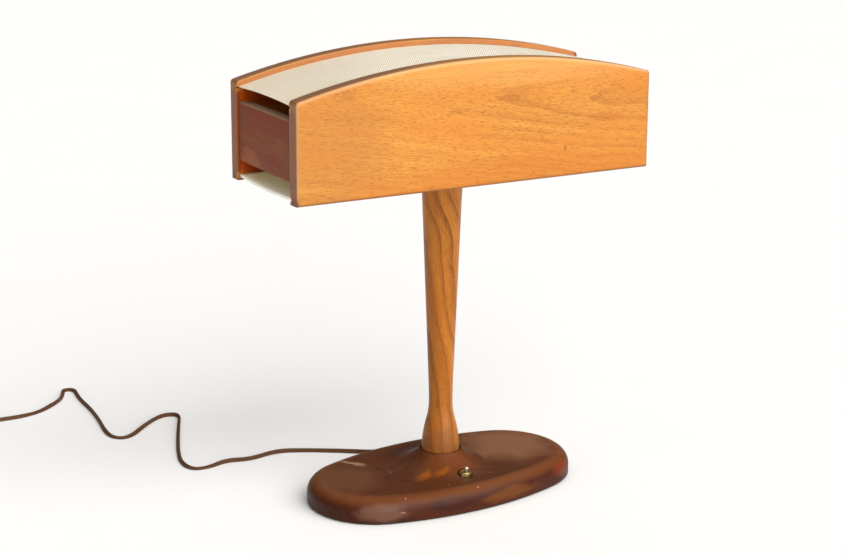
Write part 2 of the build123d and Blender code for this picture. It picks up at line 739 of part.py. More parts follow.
blade_plane = plug_plane.offset(plug_neck_length + plug_length)
blade_places = [(-blade_spacing / 2, 0), (blade_spacing / 2, 0)]
with BuildPart() as plug_blades:
    with BuildSketch(blade_plane):
        with Locations(*blade_places):
            Rectangle(blade_thickness, blade_width)
    extrude(amount=blade_length)
    with BuildSketch(Plane.XZ.offset(-coil_end.Y)):
        with Locations((blade_plane.origin.X - blade_length + blade_hole_from_tip, coil_end.Z)):
            Circle(blade_hole_radius)
    extrude(amount=blade_spacing, both=True, mode=Mode.SUBTRACT)
save(plug_blades, "plug_blades")

# ---- what the cord measures ----
samples = int(winding_wire.length)
centres = [winding_wire @ (step / samples) for step in range(samples + 1)]
apart = int(6 * cord_radius)
gap = min(
    (first - second).length - 2 * cord_radius
    for index, first in enumerate(centres)
    for second in centres[index + apart :]
)
print("cord's bend radii, mm:", " ".join(f"{bend:.0f}" for bend in bends))
print(f"free cord {free_length:.0f} mm, coil {winding_wire.length:.0f} mm")
print(f"least gap in the coil {gap:.2f} mm")
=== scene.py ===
"""Looks of a walnut desk lamp with an arched shade, laid out as a Blender add-on.

Sizes are millimetres in the lamp's own frame: X along the shade, -Y to the front and Z up from
the table, with the origin under the post. A mesh is turned to metres when it is made.
"""

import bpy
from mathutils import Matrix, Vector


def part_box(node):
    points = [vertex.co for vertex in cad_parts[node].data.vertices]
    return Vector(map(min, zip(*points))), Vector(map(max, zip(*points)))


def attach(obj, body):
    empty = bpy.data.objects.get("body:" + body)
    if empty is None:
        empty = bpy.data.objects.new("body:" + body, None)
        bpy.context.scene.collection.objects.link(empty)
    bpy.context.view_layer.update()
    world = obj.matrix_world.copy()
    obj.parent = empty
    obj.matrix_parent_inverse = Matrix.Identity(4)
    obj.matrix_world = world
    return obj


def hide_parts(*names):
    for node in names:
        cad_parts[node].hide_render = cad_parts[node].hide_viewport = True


bl_info = {
    "name": "Desk Lamp with an Arched Wooden Shade",
    "version": (1, 0, 0),
    "blender": (4, 5, 0),
    "location": "View3D > Sidebar > Desk Lamp",
    "description": "Makes a walnut desk lamp with an arched shade, a turned post and an oval base",
    "category": "Object",
}

import bmesh
import bpy
import numpy as np
from bpy.props import FloatProperty, FloatVectorProperty, PointerProperty
from mathutils import Matrix, Vector

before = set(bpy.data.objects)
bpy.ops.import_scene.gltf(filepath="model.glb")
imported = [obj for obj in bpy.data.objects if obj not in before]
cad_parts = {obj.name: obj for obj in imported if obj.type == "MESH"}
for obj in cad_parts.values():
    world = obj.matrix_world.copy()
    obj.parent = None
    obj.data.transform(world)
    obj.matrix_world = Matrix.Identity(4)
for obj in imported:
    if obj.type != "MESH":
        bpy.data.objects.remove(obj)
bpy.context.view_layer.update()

# ---------------------------------------------------------------- sizes, from the frame


def corners(node):
    """A node's lowest and highest corners, in millimetres."""
    return (np.array(corner) * 1000 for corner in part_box(node))


board_min, board_max = corners("rear_board")
half_length, outer_y = board_max[0], board_max[1]
inner_y, shade_low, shade_top = board_min[1], board_min[2], board_max[2]
end_min, end_max = corners("right_end_board")
post_low, post_high = (corner[2] for corner in corners("post"))
base_low, boss_top = (corner[2] for corner in corners("base"))
sheet_end = next(corners("left_low_diffuser"))[0]
sheet_edge = next(corners("top_diffuser"))[1]

# ---------------------------------------------------------------- sizes, as in the part

arch_rise = 29
arch_radius = (half_length**2 + arch_rise**2) / (2 * arch_rise)
arch_centre = shade_top - arch_radius
board_round, board_ease, board_corner = 4, 1, 4.5
groove_depth, groove_play = 3, 0.4
dowel_radius, dowel_in_board, dowel_in_end = 4.05, 12, 18
end_dowel_heights = (404, 440)
bridge_dowel_x, bridge_dowel_height = 20, 387
top_sheet_radius, top_sheet_crown, top_sheet_thickness = arch_radius - 7.4, 2.3, 1.2
low_sheet_height, low_sheet_sag, low_sheet_thickness = 371.5, 2.5, 3
low_sheet_gap, notch_radius = 0.25, 25

post_foot, post_neck, post_taper = (21.6, 44), (13.5, 103), (14.05, 131)
post_top_radius, cove_share, bore_radius = 23.5, 0.35, 5.4

base_turn = np.radians(4)
base_long, base_deep, base_end = 164, 91, 77
base_top, base_round, base_break = 28.4, 16, 1.5
boss_reach, boss_radius, boss_ease = 66, 24, 0.7
seat_radius, seat_height = 22.5, 44
channel_top, channel_half, channel_front, channel_rear, recess_corner = 17, 21, -62, 69, 8
ballast_x, ballast_long, ballast_wide, ballast_top = 72, 40.4, 48.4, 13.5

switch_y, spot_radius, spot_height, neck_hole = -51, 9, 28.7, 6.1
pocket_half_x, pocket_half_y, pocket_top = 17, 10, 21
ring_radius, ring_thickness, bore_play = 8.5, 0.8, 0.05
nut_flats, nut_height, nut_slope = 14, 2.4, np.radians(28)
neck_radius, neck_top, lever_bore, lever_floor = 6, 33, 3.4, 23.8
pivot_height, lever_lean = 27, np.radians(12)
pivot_ball, tip_ball, tip_reach = 3, 2.75, 10.4
exit_height, bushing_face, exit_radius = 8.5, 92.5, 4.25

# ---------------------------------------------------------------- the photograph's camera

photo_width, focal_pixels = 844, 2068.5
camera_place = np.array((-1.0972, -1.9426, 0.8534))
camera_yaw, camera_pitch, camera_roll = np.radians((28.9, 15.2, 0.23))

# ---------------------------------------------------------------- curves and surfaces


def arc(centre, radius, start, end, count):
    """Points on a circle, from one angle in degrees to another: centre + radius (cos, sin)."""
    angle = np.radians(np.linspace(start, end, count))
    return np.stack([centre[0] + radius * np.cos(angle), centre[1] + radius * np.sin(angle)], 1)


def tangent_arc(start, way, end, count):
    """The circle that leaves start along way and meets end, and its way there.

    It turns by twice the angle between way and the chord, about the point beside start whose
    distance is the chord squared over twice the chord's part across way."""
    start, way, chord = np.array(start, float), np.array(way, float), np.subtract(end, start)
    way = way / np.hypot(*way)
    across = np.array((-way[1], way[0]))
    radius = chord @ chord / (2 * chord @ across)
    turn = 2 * np.arctan2(chord @ across, chord @ way)
    angle = np.linspace(0, turn, count)[:, None]
    points = start + radius * (across * (1 - np.cos(angle)) + way * np.sin(angle))
    return points, way * np.cos(turn) + across * np.sin(turn)


def revolve(profile, count=96):
    """A (radius, height) profile turned round Z: (r cos a, r sin a, z)."""
    angle = np.linspace(0, 2 * np.pi, count + 1)
    radius, height = np.array(profile, float).T[:, :, None]
    return np.stack(np.broadcast_arrays(radius * np.cos(angle), radius * np.sin(angle), height), -1)


def lofted(loops, heights):
    """Flat loops of (x, y) points, one above another at their heights."""
    return np.stack([np.c_[loop, np.full(len(loop), z)] for loop, z in zip(loops, heights)])


def turned_in_plan(points, angle):
    """Points turned about Z."""
    c, s = np.cos(angle), np.sin(angle)
    return points @ np.array([[c, s, 0], [-s, c, 0], [0, 0, 1]])


def rounded_rectangle(half_x, half_y, radius, count=8):
    """A closed loop: four arcs of the radius about the corners drawn in by it."""
    turns = [
        arc((sx * (half_x - radius), sy * (half_y - radius)), radius, start, start + 90, count)
        for sx, sy, start in ((1, 1, 0), (-1, 1, 90), (-1, -1, 180), (1, -1, 270))
    ]
    loop = np.concatenate(turns)
    return np.concatenate([loop, loop[:1]])


def rod(place, axis, radius, length, count=32):
    """A closed cylinder from a point along an axis: circles between two poles."""
    z = np.array(axis, float)
    x = np.cross(z, (0, 0, 1) if abs(z[2]) < 0.9 else (1, 0, 0))
    x = x / np.linalg.norm(x)
    local = revolve([(0, 0), (radius, 0), (radius, length), (0, length)], count)
    return np.array(place, float) + local @ np.stack([x, np.cross(z, x), z])


def capped(tube, first, last):
    """A tube of loops with each end closed on a point, or on a loop that is folded flat."""
    ends = [np.broadcast_to(end, tube[0].shape)[None] for end in (first, last)]
    return np.concatenate([ends[0], tube, ends[1]])


def slab(loop, low, high, place=(0, 0)):
    """A closed flat-ended solid on a loop, its ends drawn to the loop's middle."""
    grid = capped(lofted([loop, loop], [low, high]), (0, 0, low), (0, 0, high))
    return grid + np.array([*place, 0])


# ---------------------------------------------------------------- meshes and pieces

crease_angle = 32


def mesh_of(name, grids, shades=None, crease=crease_angle):
    """One mesh from grids of points: each cell is a quad, and points that meet are merged.
    Shades are attributes from 0 to 1, each a grid of values for the points."""
    points, faces, start = [], [], 0
    for grid in grids:
        rows, columns = grid.shape[:2]
        at = start + np.arange(rows * columns).reshape(rows, columns)
        corners_of = (at[:-1, :-1], at[:-1, 1:], at[1:, 1:], at[1:, :-1])
        faces.append(np.stack(corners_of, -1).reshape(-1, 4))
        points.append(grid.reshape(-1, 3))
        start += rows * columns
    mesh = bpy.data.meshes.new(name)
    mesh.from_pydata(np.concatenate(points) / 1000, [], np.concatenate(faces).tolist())
    for attribute, values in (shades or {}).items():
        values = np.ravel(values).astype(np.float32)
        mesh.attributes.new(attribute, "FLOAT", "POINT").data.foreach_set("value", values)
    work = bmesh.new()
    work.from_mesh(mesh)
    bmesh.ops.remove_doubles(work, verts=work.verts, dist=2e-6)
    bmesh.ops.dissolve_degenerate(work, edges=work.edges, dist=1e-7)
    bmesh.ops.recalc_face_normals(work, faces=work.faces)
    work.to_mesh(mesh)
    work.free()
    mesh.shade_smooth()
    mesh.set_sharp_from_angle(angle=np.radians(crease))
    return mesh


def cut_away(piece, grids):
    """Cuts closed shells out of a piece with a Boolean, and applies it."""
    cutter = bpy.data.objects.new("cutter", mesh_of("cutter", grids))
    bpy.context.collection.objects.link(cutter)
    cut = piece.modifiers.new("cut", "BOOLEAN")
    cut.operation, cut.solver, cut.object = "DIFFERENCE", "EXACT", cutter
    cut.use_self = True
    view = bpy.context.evaluated_depsgraph_get()
    mesh = bpy.data.meshes.new_from_object(piece.evaluated_get(view))
    if len(mesh.vertices) <= len(piece.data.vertices):
        raise RuntimeError(f"nothing was cut out of {piece.name}")
    piece.modifiers.clear()
    piece.data = mesh
    mesh.set_sharp_from_angle(angle=np.radians(crease_angle))
    bpy.data.objects.remove(cutter)


def add_piece(
    name, node, grid, material, slot, body="lamp", shades=None, crease=crease_angle, holes=()
):
    """A finished piece that stands for its node and rides on its body, less its holes."""
    piece = bpy.data.objects.new(name, mesh_of(name, [grid], shades, crease))
    bpy.context.collection.objects.link(piece)
    if len(holes):
        cut_away(piece, holes)
    piece.data.materials.clear()
    piece.data.materials.append(material)
    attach(piece, body)
    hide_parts(node)
    return piece


def finish_nodes(material, *names):
    """Gives CAD nodes that stay their material."""
    for name in names:
        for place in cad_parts[name].material_slots:
            place.material = material


# ---------------------------------------------------------------- materials


def linear(colour):
    """An sRGB hex colour as linear red, green, blue and alpha. A colour property is linear."""
    if not isinstance(colour, str):
        return tuple(colour)
    value = np.array([int(colour[at : at + 2], 16) / 255 for at in (1, 3, 5)])
    value = np.where(value <= 0.04045, value / 12.92, ((value + 0.055) / 1.055) ** 2.4)
    return (*value.tolist(), 1.0)


def add(tree, kind, sockets=(), stops=(), **settings):
    """Adds a shader node. Settings are its properties and stops a ramp's positions and colours.
    Sockets are its inputs, by identifier or in the order of those in use: each is a value, or
    the node or output linked to it."""
    node = tree.nodes.new("ShaderNode" + kind)
    for name, value in settings.items():
        setattr(node, name, value)
    inputs = [socket for socket in node.inputs if socket.enabled]
    if isinstance(sockets, dict):
        inputs = [next(s for s in inputs if s.identifier == name) for name in sockets]
        sockets = sockets.values()
    for socket, value in zip(inputs, sockets):
        if isinstance(value, bpy.types.Node):
            value = next(out for out in value.outputs if out.enabled)
        if isinstance(value, bpy.types.NodeSocket):
            tree.links.new(value, socket)
        else:
            socket.default_value = value
    for index, (position, colour) in enumerate(stops):
        points = node.color_ramp.elements
        point = points[index] if index < 2 else points.new(position)
        point.position, point.color = position, colour
    return node


def empty_material(name):
    """A named material with nothing in its node tree, its tree, and its Object coordinates."""
    material = bpy.data.materials.new(name)
    material.use_nodes = True
    tree = material.node_tree
    tree.nodes.clear()
    return material, tree, add(tree, "TexCoord").outputs["Object"]


def walnut(
    name, light, dark, warm, grain=(1, 0, 0), pith=(0, -60, 457), cone=0.1, ring=9.0, bands=0.5,
    line=0.15, plain=None, wander=16, contrast=1.0, pore=0.4, gloss=0.4, shine=0.3, tints=(),
    marks=(),
):
    """Walnut, planed or turned, sanded and oiled: growth rings seen as arches or long streaks,
    short open pores along the grain, a slow drift from yellow to red brown, and a soft sheen.

    The rings are cones about the pith's line, whose direction is the grain: a ring's number is
    the distance from that line, less the cone's share of the distance along it, over a ring's
    width, with every place first moved a few millimetres by a slow noise. Bands and line weigh
    the rings' uneven tone and their dark late wood, which is faint up to the first place along
    the grain that plain gives and clear from the second. A tint is a colour that an attribute of
    the mesh brings in, and a mark is a scuff, chip or stain."""
    material, tree, seen = empty_material(name)
    along = Vector(grain).normalized()
    square = along.cross((0, 1, 0) if abs(along.y) < 0.9 else (0, 0, 1)).normalized()
    frame_turn = Matrix((along, square.cross(along), square))
    start = frame_turn @ Vector(pith) + Vector((0, wander / 2, wander / 2))
    laid = add(tree, "Mapping", (seen, -start, frame_turn.to_euler(), (1000, 1000, 1000)))
    slow = add(tree, "TexNoise", (laid, 1 / 90, 1.0)).outputs["Color"]
    moved = add(tree, "VectorMath", (slow, (0, wander, wander), laid), operation="MULTIPLY_ADD")
    distance = add(tree, "SeparateXYZ", (moved,)).outputs["X"]
    beside = add(tree, "VectorMath", (moved, (0, 1, 1)), operation="MULTIPLY")
    away = add(tree, "VectorMath", (beside,), operation="LENGTH")
    depth = add(tree, "Math", (distance, -cone, away), operation="MULTIPLY_ADD")
    # a ring is about a centimetre wide, and the late wood at its end is a darker line
    band = add(tree, "TexNoise", (depth, 1 / ring, 3.0, 0.6), noise_dimensions="1D")
    year = add(tree, "Math", (depth, ring), operation="DIVIDE")
    part = add(tree, "Math", (year,), operation="FRACT")
    late = add(tree, "MapRange", (part, 0.5, 0.95), interpolation_type="SMOOTHSTEP")
    if plain:
        clear = add(tree, "MapRange", (distance, *plain, 0.15))
        late = add(tree, "Math", (late, clear), operation="MULTIPLY")
    # fibres 1 mm across and 16 mm long, coarser than the real ones so that they show
    drawn = add(tree, "VectorMath", (laid, (0.07, 1, 1)), operation="MULTIPLY")
    fibre = add(tree, "TexNoise", (drawn, 0.9, 4.0, 0.7))
    # pores 0.8 mm wide and 5 mm long, about four times the real ones, so that they show
    dashed = add(tree, "VectorMath", (laid, (1 / 7, 1 / 1.1, 1 / 1.1)), operation="MULTIPLY")
    cells = add(tree, "TexVoronoi", (dashed, 1.0))
    core = add(tree, "MapRange", (cells, 0.5, 0.15), interpolation_type="SMOOTHSTEP")
    some = add(tree, "MapRange", (cells.outputs["Color"], 0.2, 0.9))
    pores = add(tree, "Math", (core, some), operation="MULTIPLY")
    uneven = add(tree, "Math", (band, bands), operation="MULTIPLY")
    tone = add(tree, "Math", (fibre, 0.9, uneven), operation="MULTIPLY_ADD")
    lined = add(tree, "Math", (late, -line, tone), operation="MULTIPLY_ADD")
    middle, reach = 0.45 + bands * 0.5 - line * 0.3, 0.3 / contrast
    spread = add(tree, "MapRange", (lined, middle - reach, middle + reach))
    wood = add(tree, "ValToRGB", (spread,), [(0, linear(dark)), (1, linear(light))])
    drifted = add(tree, "VectorMath", (laid, (0.35, 1, 1)), operation="MULTIPLY")
    cloud = add(tree, "TexNoise", (drifted, 1 / 38, 2.0))
    warmth = add(tree, "MapRange", (cloud, 0.4, 0.66, 0, 0.75))
    colour = add(tree, "Mix", (warmth, wood, linear(warm)), data_type="RGBA")
    opened = add(tree, "Math", (pores, pore), operation="MULTIPLY")
    colour = add(tree, "Mix", (opened, colour, linear(dark)), data_type="RGBA", blend_type="MULTIPLY")
    for attribute, tint, strength, blend in tints:
        shown = add(tree, "Attribute", attribute_name=attribute).outputs["Fac"]
        amount = add(tree, "Math", (shown, strength), operation="MULTIPLY")
        colour = add(tree, "Mix", (amount, colour, linear(tint)), data_type="RGBA", blend_type=blend)
    for details in marks:
        colour = mark(tree, seen, colour, *details)
    sheen = add(tree, "MapRange", (fibre, 0.3, 0.7, gloss - 0.06, gloss + 0.08))
    relief = add(tree, "Math", (pores, -1.0, fibre), operation="MULTIPLY_ADD")
    bump = add(tree, "Bump", {"Height": relief, "Strength": 0.25, "Distance": 0.0002})
    sockets = {"Base Color": colour, "Roughness": sheen, "Normal": bump, "Specular IOR Level": shine}
    add(tree, "OutputMaterial", (add(tree, "BsdfPrincipled", sockets),))
    return material


def mark(tree, seen, colour, place, size, turn, tint, strength, ragged):
    """A scuff, chip or stain: an ellipsoid about its place, turned about Z, in millimetres,
    with its edge broken by noise, and a tint that comes in over its outer part."""
    location, half = [value / 1000 for value in place], [value / 2000 for value in size]
    rotation = (0, 0, np.radians(turn))
    near = add(tree, "Mapping", (seen, location, rotation, half), vector_type="TEXTURE")
    length = add(tree, "VectorMath", (near,), operation="LENGTH")
    broken = add(tree, "TexNoise", (near, 2.2, 4.0))
    edge = add(tree, "Math", (broken, ragged, length), operation="MULTIPLY_ADD")
    rim, core = 1 + ragged / 2, 0.35 + ragged / 2
    shown = add(tree, "MapRange", (edge, rim, core, 0, strength), interpolation_type="SMOOTHSTEP")
    return add(tree, "Mix", (shown, colour, linear(tint)), data_type="RGBA")


def mottled(name, colours, roughness, grain=1.5, metallic=0.0, relief=0.0, spread=0.08, **more):
    """A metal, plastic, glaze, glass or felt: two near colours and a change of roughness in a
    fine mottle whose grains are a size in millimetres, raised by a relief. Names of further
    shader sockets are written with _ for their spaces."""
    material, tree, seen = empty_material(name)
    noise = add(tree, "TexNoise", (seen, 1000 / grain, 3.0))
    colour = add(tree, "ValToRGB", (noise,), zip((0.35, 0.65), map(linear, colours)))
    rough = add(tree, "MapRange", (noise, 0, 1, roughness + spread, roughness - spread))
    bump = add(tree, "Bump", {"Height": noise, "Strength": relief, "Distance": 0.0001})
    sockets = {key.replace("_", " "): value for key, value in more.items()}
    sockets.update({"Base Color": colour, "Roughness": rough, "Normal": bump, "Metallic": metallic})
    add(tree, "OutputMaterial", (add(tree, "BsdfPrincipled", sockets),))
    return material


def linen_laminate(thread, light, dark, smudge):
    """Linen cloth cut on the bias and sealed in clear resin: pale ribs of thread with browner
    gaps, uneven along their length, faint grey brown smudges, and some light let through. The
    threads lie a distance apart in metres."""
    material, tree, seen = empty_material("linen_laminate")
    bias = (0, 0, np.pi / 2 - np.arctan2(1.5, 1))
    place = add(tree, "Mapping", (seen, (0, 0, 0), bias, [2 * np.pi / thread] * 3))
    split = add(tree, "SeparateXYZ", (place,)).outputs
    warp, weft = (add(tree, "Math", (split[axis],), operation="SINE") for axis in "XY")
    weave = add(tree, "Math", (weft, 0.6, warp), operation="MULTIPLY_ADD")
    slub = add(tree, "TexNoise", (place, 0.3, 2.0))
    height = add(tree, "Math", (weave, 0.32, slub), operation="MULTIPLY_ADD")
    cloth = add(tree, "ValToRGB", (height,), [(0.3, linear(dark)), (0.7, linear(light))])
    dust = add(tree, "TexNoise", (seen, 11.0, 2.0))
    soiled = add(tree, "MapRange", (dust, 0.52, 0.72, 0, 0.6))
    colour = add(tree, "Mix", (soiled, cloth, linear(smudge)), data_type="RGBA")
    # the left end is browner than the rest
    colour = mark(tree, seen, colour, (-225, 0, 470), (440, 500, 300), 0, smudge, 0.55, 0.3)
    bump = add(tree, "Bump", {"Height": height, "Strength": 0.3, "Distance": 0.0002})
    sockets = {
        "Base Color": colour,
        "Roughness": 0.5,
        "Normal": bump,
        "Subsurface Weight": 0.4,
        "Subsurface Radius": (1.0, 0.8, 0.6),
        "Subsurface Scale": 0.003,
    }
    add(tree, "OutputMaterial", (add(tree, "BsdfPrincipled", sockets),))
    return material


# ---------------------------------------------------------------- the shade's surfaces


def board_outline(inset):
    """A side board's outline, (x, z), drawn in by the inset: square lower corners, the ends,
    arcs at the upper corners that touch the end and the arch, and the arch."""
    corner = max(board_corner - inset, 0.02)
    edge = inset + corner
    at_x = half_length - edge
    at_z = arch_centre + np.sqrt((arch_radius - edge) ** 2 - at_x**2)
    lean = np.degrees(np.arctan2(at_z - arch_centre, at_x))
    low, long = shade_low + inset, half_length - inset
    bottom = np.stack([np.linspace(-long, long, 40), np.full(40, low)], 1)
    right = np.stack([np.full(12, long), np.linspace(low, at_z, 12)], 1)
    parts = [
        bottom,
        right,
        arc((at_x, at_z), corner, 0, lean, 8),
        arc((0, arch_centre), arch_radius - inset, lean, 180 - lean, 140),
        arc((-at_x, at_z), corner, 180 - lean, 180, 8),
        right[::-1] * (-1, 1),
    ]
    return np.concatenate(parts)


def side_board(side):
    """A side board: its outline at (inset, y) steps, from the inner face's middle over the
    eased edge, the edge and the round to the outer face's middle. Its shades follow."""
    a = np.radians(np.linspace(0, 90, 10))
    ease, round_ = board_ease, board_round
    inner = [(ease * (1 - np.sin(b)), inner_y + ease * (1 - np.cos(b))) for b in a[::3]]
    outer = [(round_ * (1 - np.cos(b)), outer_y - round_ * (1 - np.sin(b))) for b in a]
    under_groove, over_groove = (arch_radius - top_sheet_radius + part for part in (1.2, -2.4))
    steps = [(inset, inner_y) for inset in (under_groove, over_groove, 1.8)]
    steps += [*inner, (0, inner_y + 5), (0, outer_y - 8), *outer, (4.8, outer_y)]
    loops = [np.insert(board_outline(inset), 1, y, axis=1) for inset, y in steps]
    first, last = ((0, y, (shade_low + shade_top) / 2) for y in (inner_y, outer_y))
    grid = capped(np.stack(loops), first, last) * (1, side, 1)
    far_in = 99
    inset = np.array([far_in, *(step[0] for step in steps), far_in])[:, None]
    x, y, z = grid[..., 0], np.abs(grid[:, :1, 1]), grid[..., 2]
    # how far over the round a place is, from the edge to the outer face, and whether it lies
    # on the edge, along the top, at an end or along the bottom
    over = np.clip((y - outer_y + round_) / round_, 0, 1)
    edge = np.clip(y - inner_y, 0, 1) * np.clip(1 - 1.3 * over, 0, 1)
    upward = np.clip((z - shade_low - 95) / 14, 0, 1)
    endward = np.clip((np.abs(x) - half_length + 5) / 3.5, 0, 1)
    downward = np.clip((shade_low + 5 - z) / 3.5, 0, 1)
    # painted shade on the top edges is darkest over the left half, and the inner face changes
    # colour at the sheet
    fade = np.interp(x, (-90, 30), (1, 0.5))
    arch = arch_centre + np.sqrt(arch_radius**2 - np.minimum(np.abs(x), half_length) ** 2)
    under = np.clip((arch - 7 - z) / 2, 0, 1)
    inner_face, beyond = y < inner_y + 0.1, inset > over_groove + 0.5
    shades = {
        # painted highlight, with some wear, along the outer round
        "wear_and_highlight": np.sin(np.pi * over) * (inset < 4.5) * (1 - downward),
        # painted shade and a painted grey sheen on the top edges
        "top_shade_and_sheen": edge * upward * fade,
        "end_grain": (inset < 2) * np.clip(1 - 1.5 * over, 0, 1) * endward * (1 - upward),
        # painted shade along the bottom edge and the right end's edge
        "painted_edge_shade": np.clip(1.6 - 1.2 * over, 0, 1) * np.maximum(downward, endward * (x > 0)),
        # painted shade and a painted orange glow of bounced light on the inner face below the top sheet
        "inside": inner_face * np.maximum(beyond, under),
        # the inner face above the sheet is made duller and pinker
        "duller_over_sheet": inner_face * ~beyond * (1 - under),
    }
    return grid, shades


def arched_bar(radii, ys, half):
    """A closed bar of rectangular section, between two radii and two places in Y, that follows
    the arch: used to cut its groove."""
    lean = np.degrees(np.arccos(half / radii[0]))
    section = [(radii[0], ys[0]), (radii[0], ys[1]), (radii[1], ys[1]), (radii[1], ys[0])]
    loop = [
        np.insert(arc((0, arch_centre), radius, lean, 180 - lean, 120), 1, y, axis=1)
        for radius, y in section
    ]
    grid = np.stack([*loop, loop[0]], 1)
    return capped(grid, grid[0, :4].mean(0), grid[-1, :4].mean(0))


def box_bar(low, high):
    """A closed box between two corners, as a slab on a sharp rectangle."""
    low, high = np.array(low, float), np.array(high, float)
    x, y = (high - low)[:2] / 2
    loop = np.array([(x, y), (-x, y), (-x, -y), (x, -y), (x, y)])
    return slab(loop, low[2], high[2], (low + high)[:2] / 2)


def board_cuts(side):
    """What is cut from a side board's inner face: two grooves and the dowels' holes."""
    ys = sorted((side * (inner_y - 1), side * (inner_y + groove_depth)))
    sheet = (top_sheet_radius - groove_play, top_sheet_radius + top_sheet_thickness + groove_play)
    groove = arched_bar(sheet, ys, half_length + 2)
    low = (-half_length - 2, ys[0], low_sheet_height - groove_play)
    high = (half_length + 2, ys[1], low_sheet_height + low_sheet_thickness + groove_play)
    middle = (end_min[0] + end_max[0]) / 2
    holes = [(x, z) for x in (-middle, middle) for z in end_dowel_heights]
    holes += [(x, bridge_dowel_height) for x in (-bridge_dowel_x, bridge_dowel_x)]
    inward = (0, side, 0)
    rods = [
        rod((x, side * (inner_y - 1), z), inward, dowel_radius, dowel_in_board + 1) for x, z in holes
    ]
    return [groove, box_bar(low, high), *rods]


def end_board(side):
    """An end board: a rectangle with eased corners carried from one side board to the other."""
    size = (end_max - end_min) / 2
    loop = rounded_rectangle(size[0], size[2], board_ease, 5)
    middle = (end_max + end_min) / 2
    grid = np.stack([np.insert(loop, 1, y, axis=1) for y in (-inner_y, inner_y)])
    grid = capped(grid, (0, -inner_y, 0), (0, inner_y, 0))
    # dust and painted light: the top edge is made paler and greyer
    dust_and_top_light = np.clip((grid[..., 2] - size[2] + board_ease) / board_ease, 0, 1)
    return grid + (side * middle[0], 0, middle[2]), {"dust_and_top_light": dust_and_top_light}


def end_board_holes(side):
    """The dowels' holes in an end board's two ends."""
    middle = side * (end_min[0] + end_max[0]) / 2
    return [
        rod((middle, end * (inner_y + 1), z), (0, -end, 0), dowel_radius, dowel_in_end + 1)
        for end in (-1, 1)
        for z in end_dowel_heights
    ]


def crown(y, half, rise):
    """Height of an arc over its chord: that of a circle through both edges and the rise."""
    radius = (half**2 + rise**2) / (2 * rise)
    return np.sign(rise) * (np.sqrt(radius**2 - y**2) - (abs(radius) - abs(rise)))


def sheet_shell(over, under):
    """A closed thin sheet from its two faces, each a grid with the same rows: the section's
    loop runs over one and back under the other, and each end is closed on its middle line."""
    grid = np.concatenate([over, under[:, ::-1], over[:, :1]], 1)
    turned = np.concatenate([under, over[:, ::-1], under[:, :1]], 1)
    middle = (grid + turned) / 2
    return capped(grid, middle[0], middle[-1])


def top_sheet():
    """The upper sheet: circles about the arch's centre, higher by the crown at their middle."""
    half = -sheet_edge
    reach = np.arcsin(-sheet_end / (top_sheet_radius + top_sheet_thickness))
    angle = np.linspace(-reach, reach, 160)[:, None]
    y = np.linspace(-half, half, 41)[None, :]
    faces = []
    for lift in (top_sheet_thickness, 0):
        radius = top_sheet_radius + crown(y, half, top_sheet_crown) + lift
        flat = np.broadcast_to(y, (160, 41))
        faces.append(np.stack([radius * np.sin(angle), flat, arch_centre + radius * np.cos(angle)], -1))
    return sheet_shell(*faces)


def low_sheet(side):
    """A lower sheet: straight along X from the post's notch to its end, sagging at its middle."""
    half = -sheet_edge
    beyond = np.linspace(notch_radius, half, 12)[1:]
    across = notch_radius * np.sin(np.linspace(-np.pi / 2, np.pi / 2, 41))
    y = np.concatenate([-beyond[::-1], across, beyond])[None, :]
    start = np.maximum(low_sheet_gap, np.sqrt(np.maximum(notch_radius**2 - y**2, 0)))
    along = np.linspace(0, 1, 30)[:, None]
    x = start + (-sheet_end - start) * along
    faces = []
    for lift in (low_sheet_thickness, 0):
        z = low_sheet_height - crown(y, half, low_sheet_sag) + lift
        faces.append(np.stack(np.broadcast_arrays(side * x, y, z), -1))
    return sheet_shell(*faces)


# ---------------------------------------------------------------- post and base


def post_profile():
    """Bore, foot, the swell and cove up to the neck, a slow flare, and a straight taper."""
    neck, foot = np.array(post_neck), np.array(post_foot)
    turn_at = neck + cove_share * (foot - neck)
    cove, way = tangent_arc(neck, (0, -1), turn_at, 24)
    swell, _ = tangent_arc(turn_at, way, foot, 30)
    flare, _ = tangent_arc(neck, (0, 1), post_taper, 10)
    taper = np.linspace(post_taper, (post_top_radius, post_high), 24)
    rise = np.concatenate([swell[::-1], cove[::-1], flare[1:], taper[1:]])
    bore = [(bore_radius, post_high), (bore_radius, post_low)]
    return np.concatenate([rise, bore, rise[:1]])


def base_oval(inset):
    """The base's outline drawn in by the inset: four tangent arcs, the ends' and the sides',
    each about its own centre with its radius less the inset."""
    end_x = base_long - base_end
    side = (end_x**2 + base_deep**2 - base_end**2) / (2 * (base_deep - base_end))
    lean = np.degrees(np.arctan2(side - base_deep, end_x))
    parts = [
        arc((end_x, 0), base_end - inset, -lean, lean, 65),
        arc((0, base_deep - side), side - inset, lean, 180 - lean, 65)[1:],
        arc((-end_x, 0), base_end - inset, 180 - lean, 180 + lean, 65)[1:],
        arc((0, side - base_deep), side - inset, 180 + lean, 360 - lean, 65)[1:],
    ]
    return np.concatenate(parts)


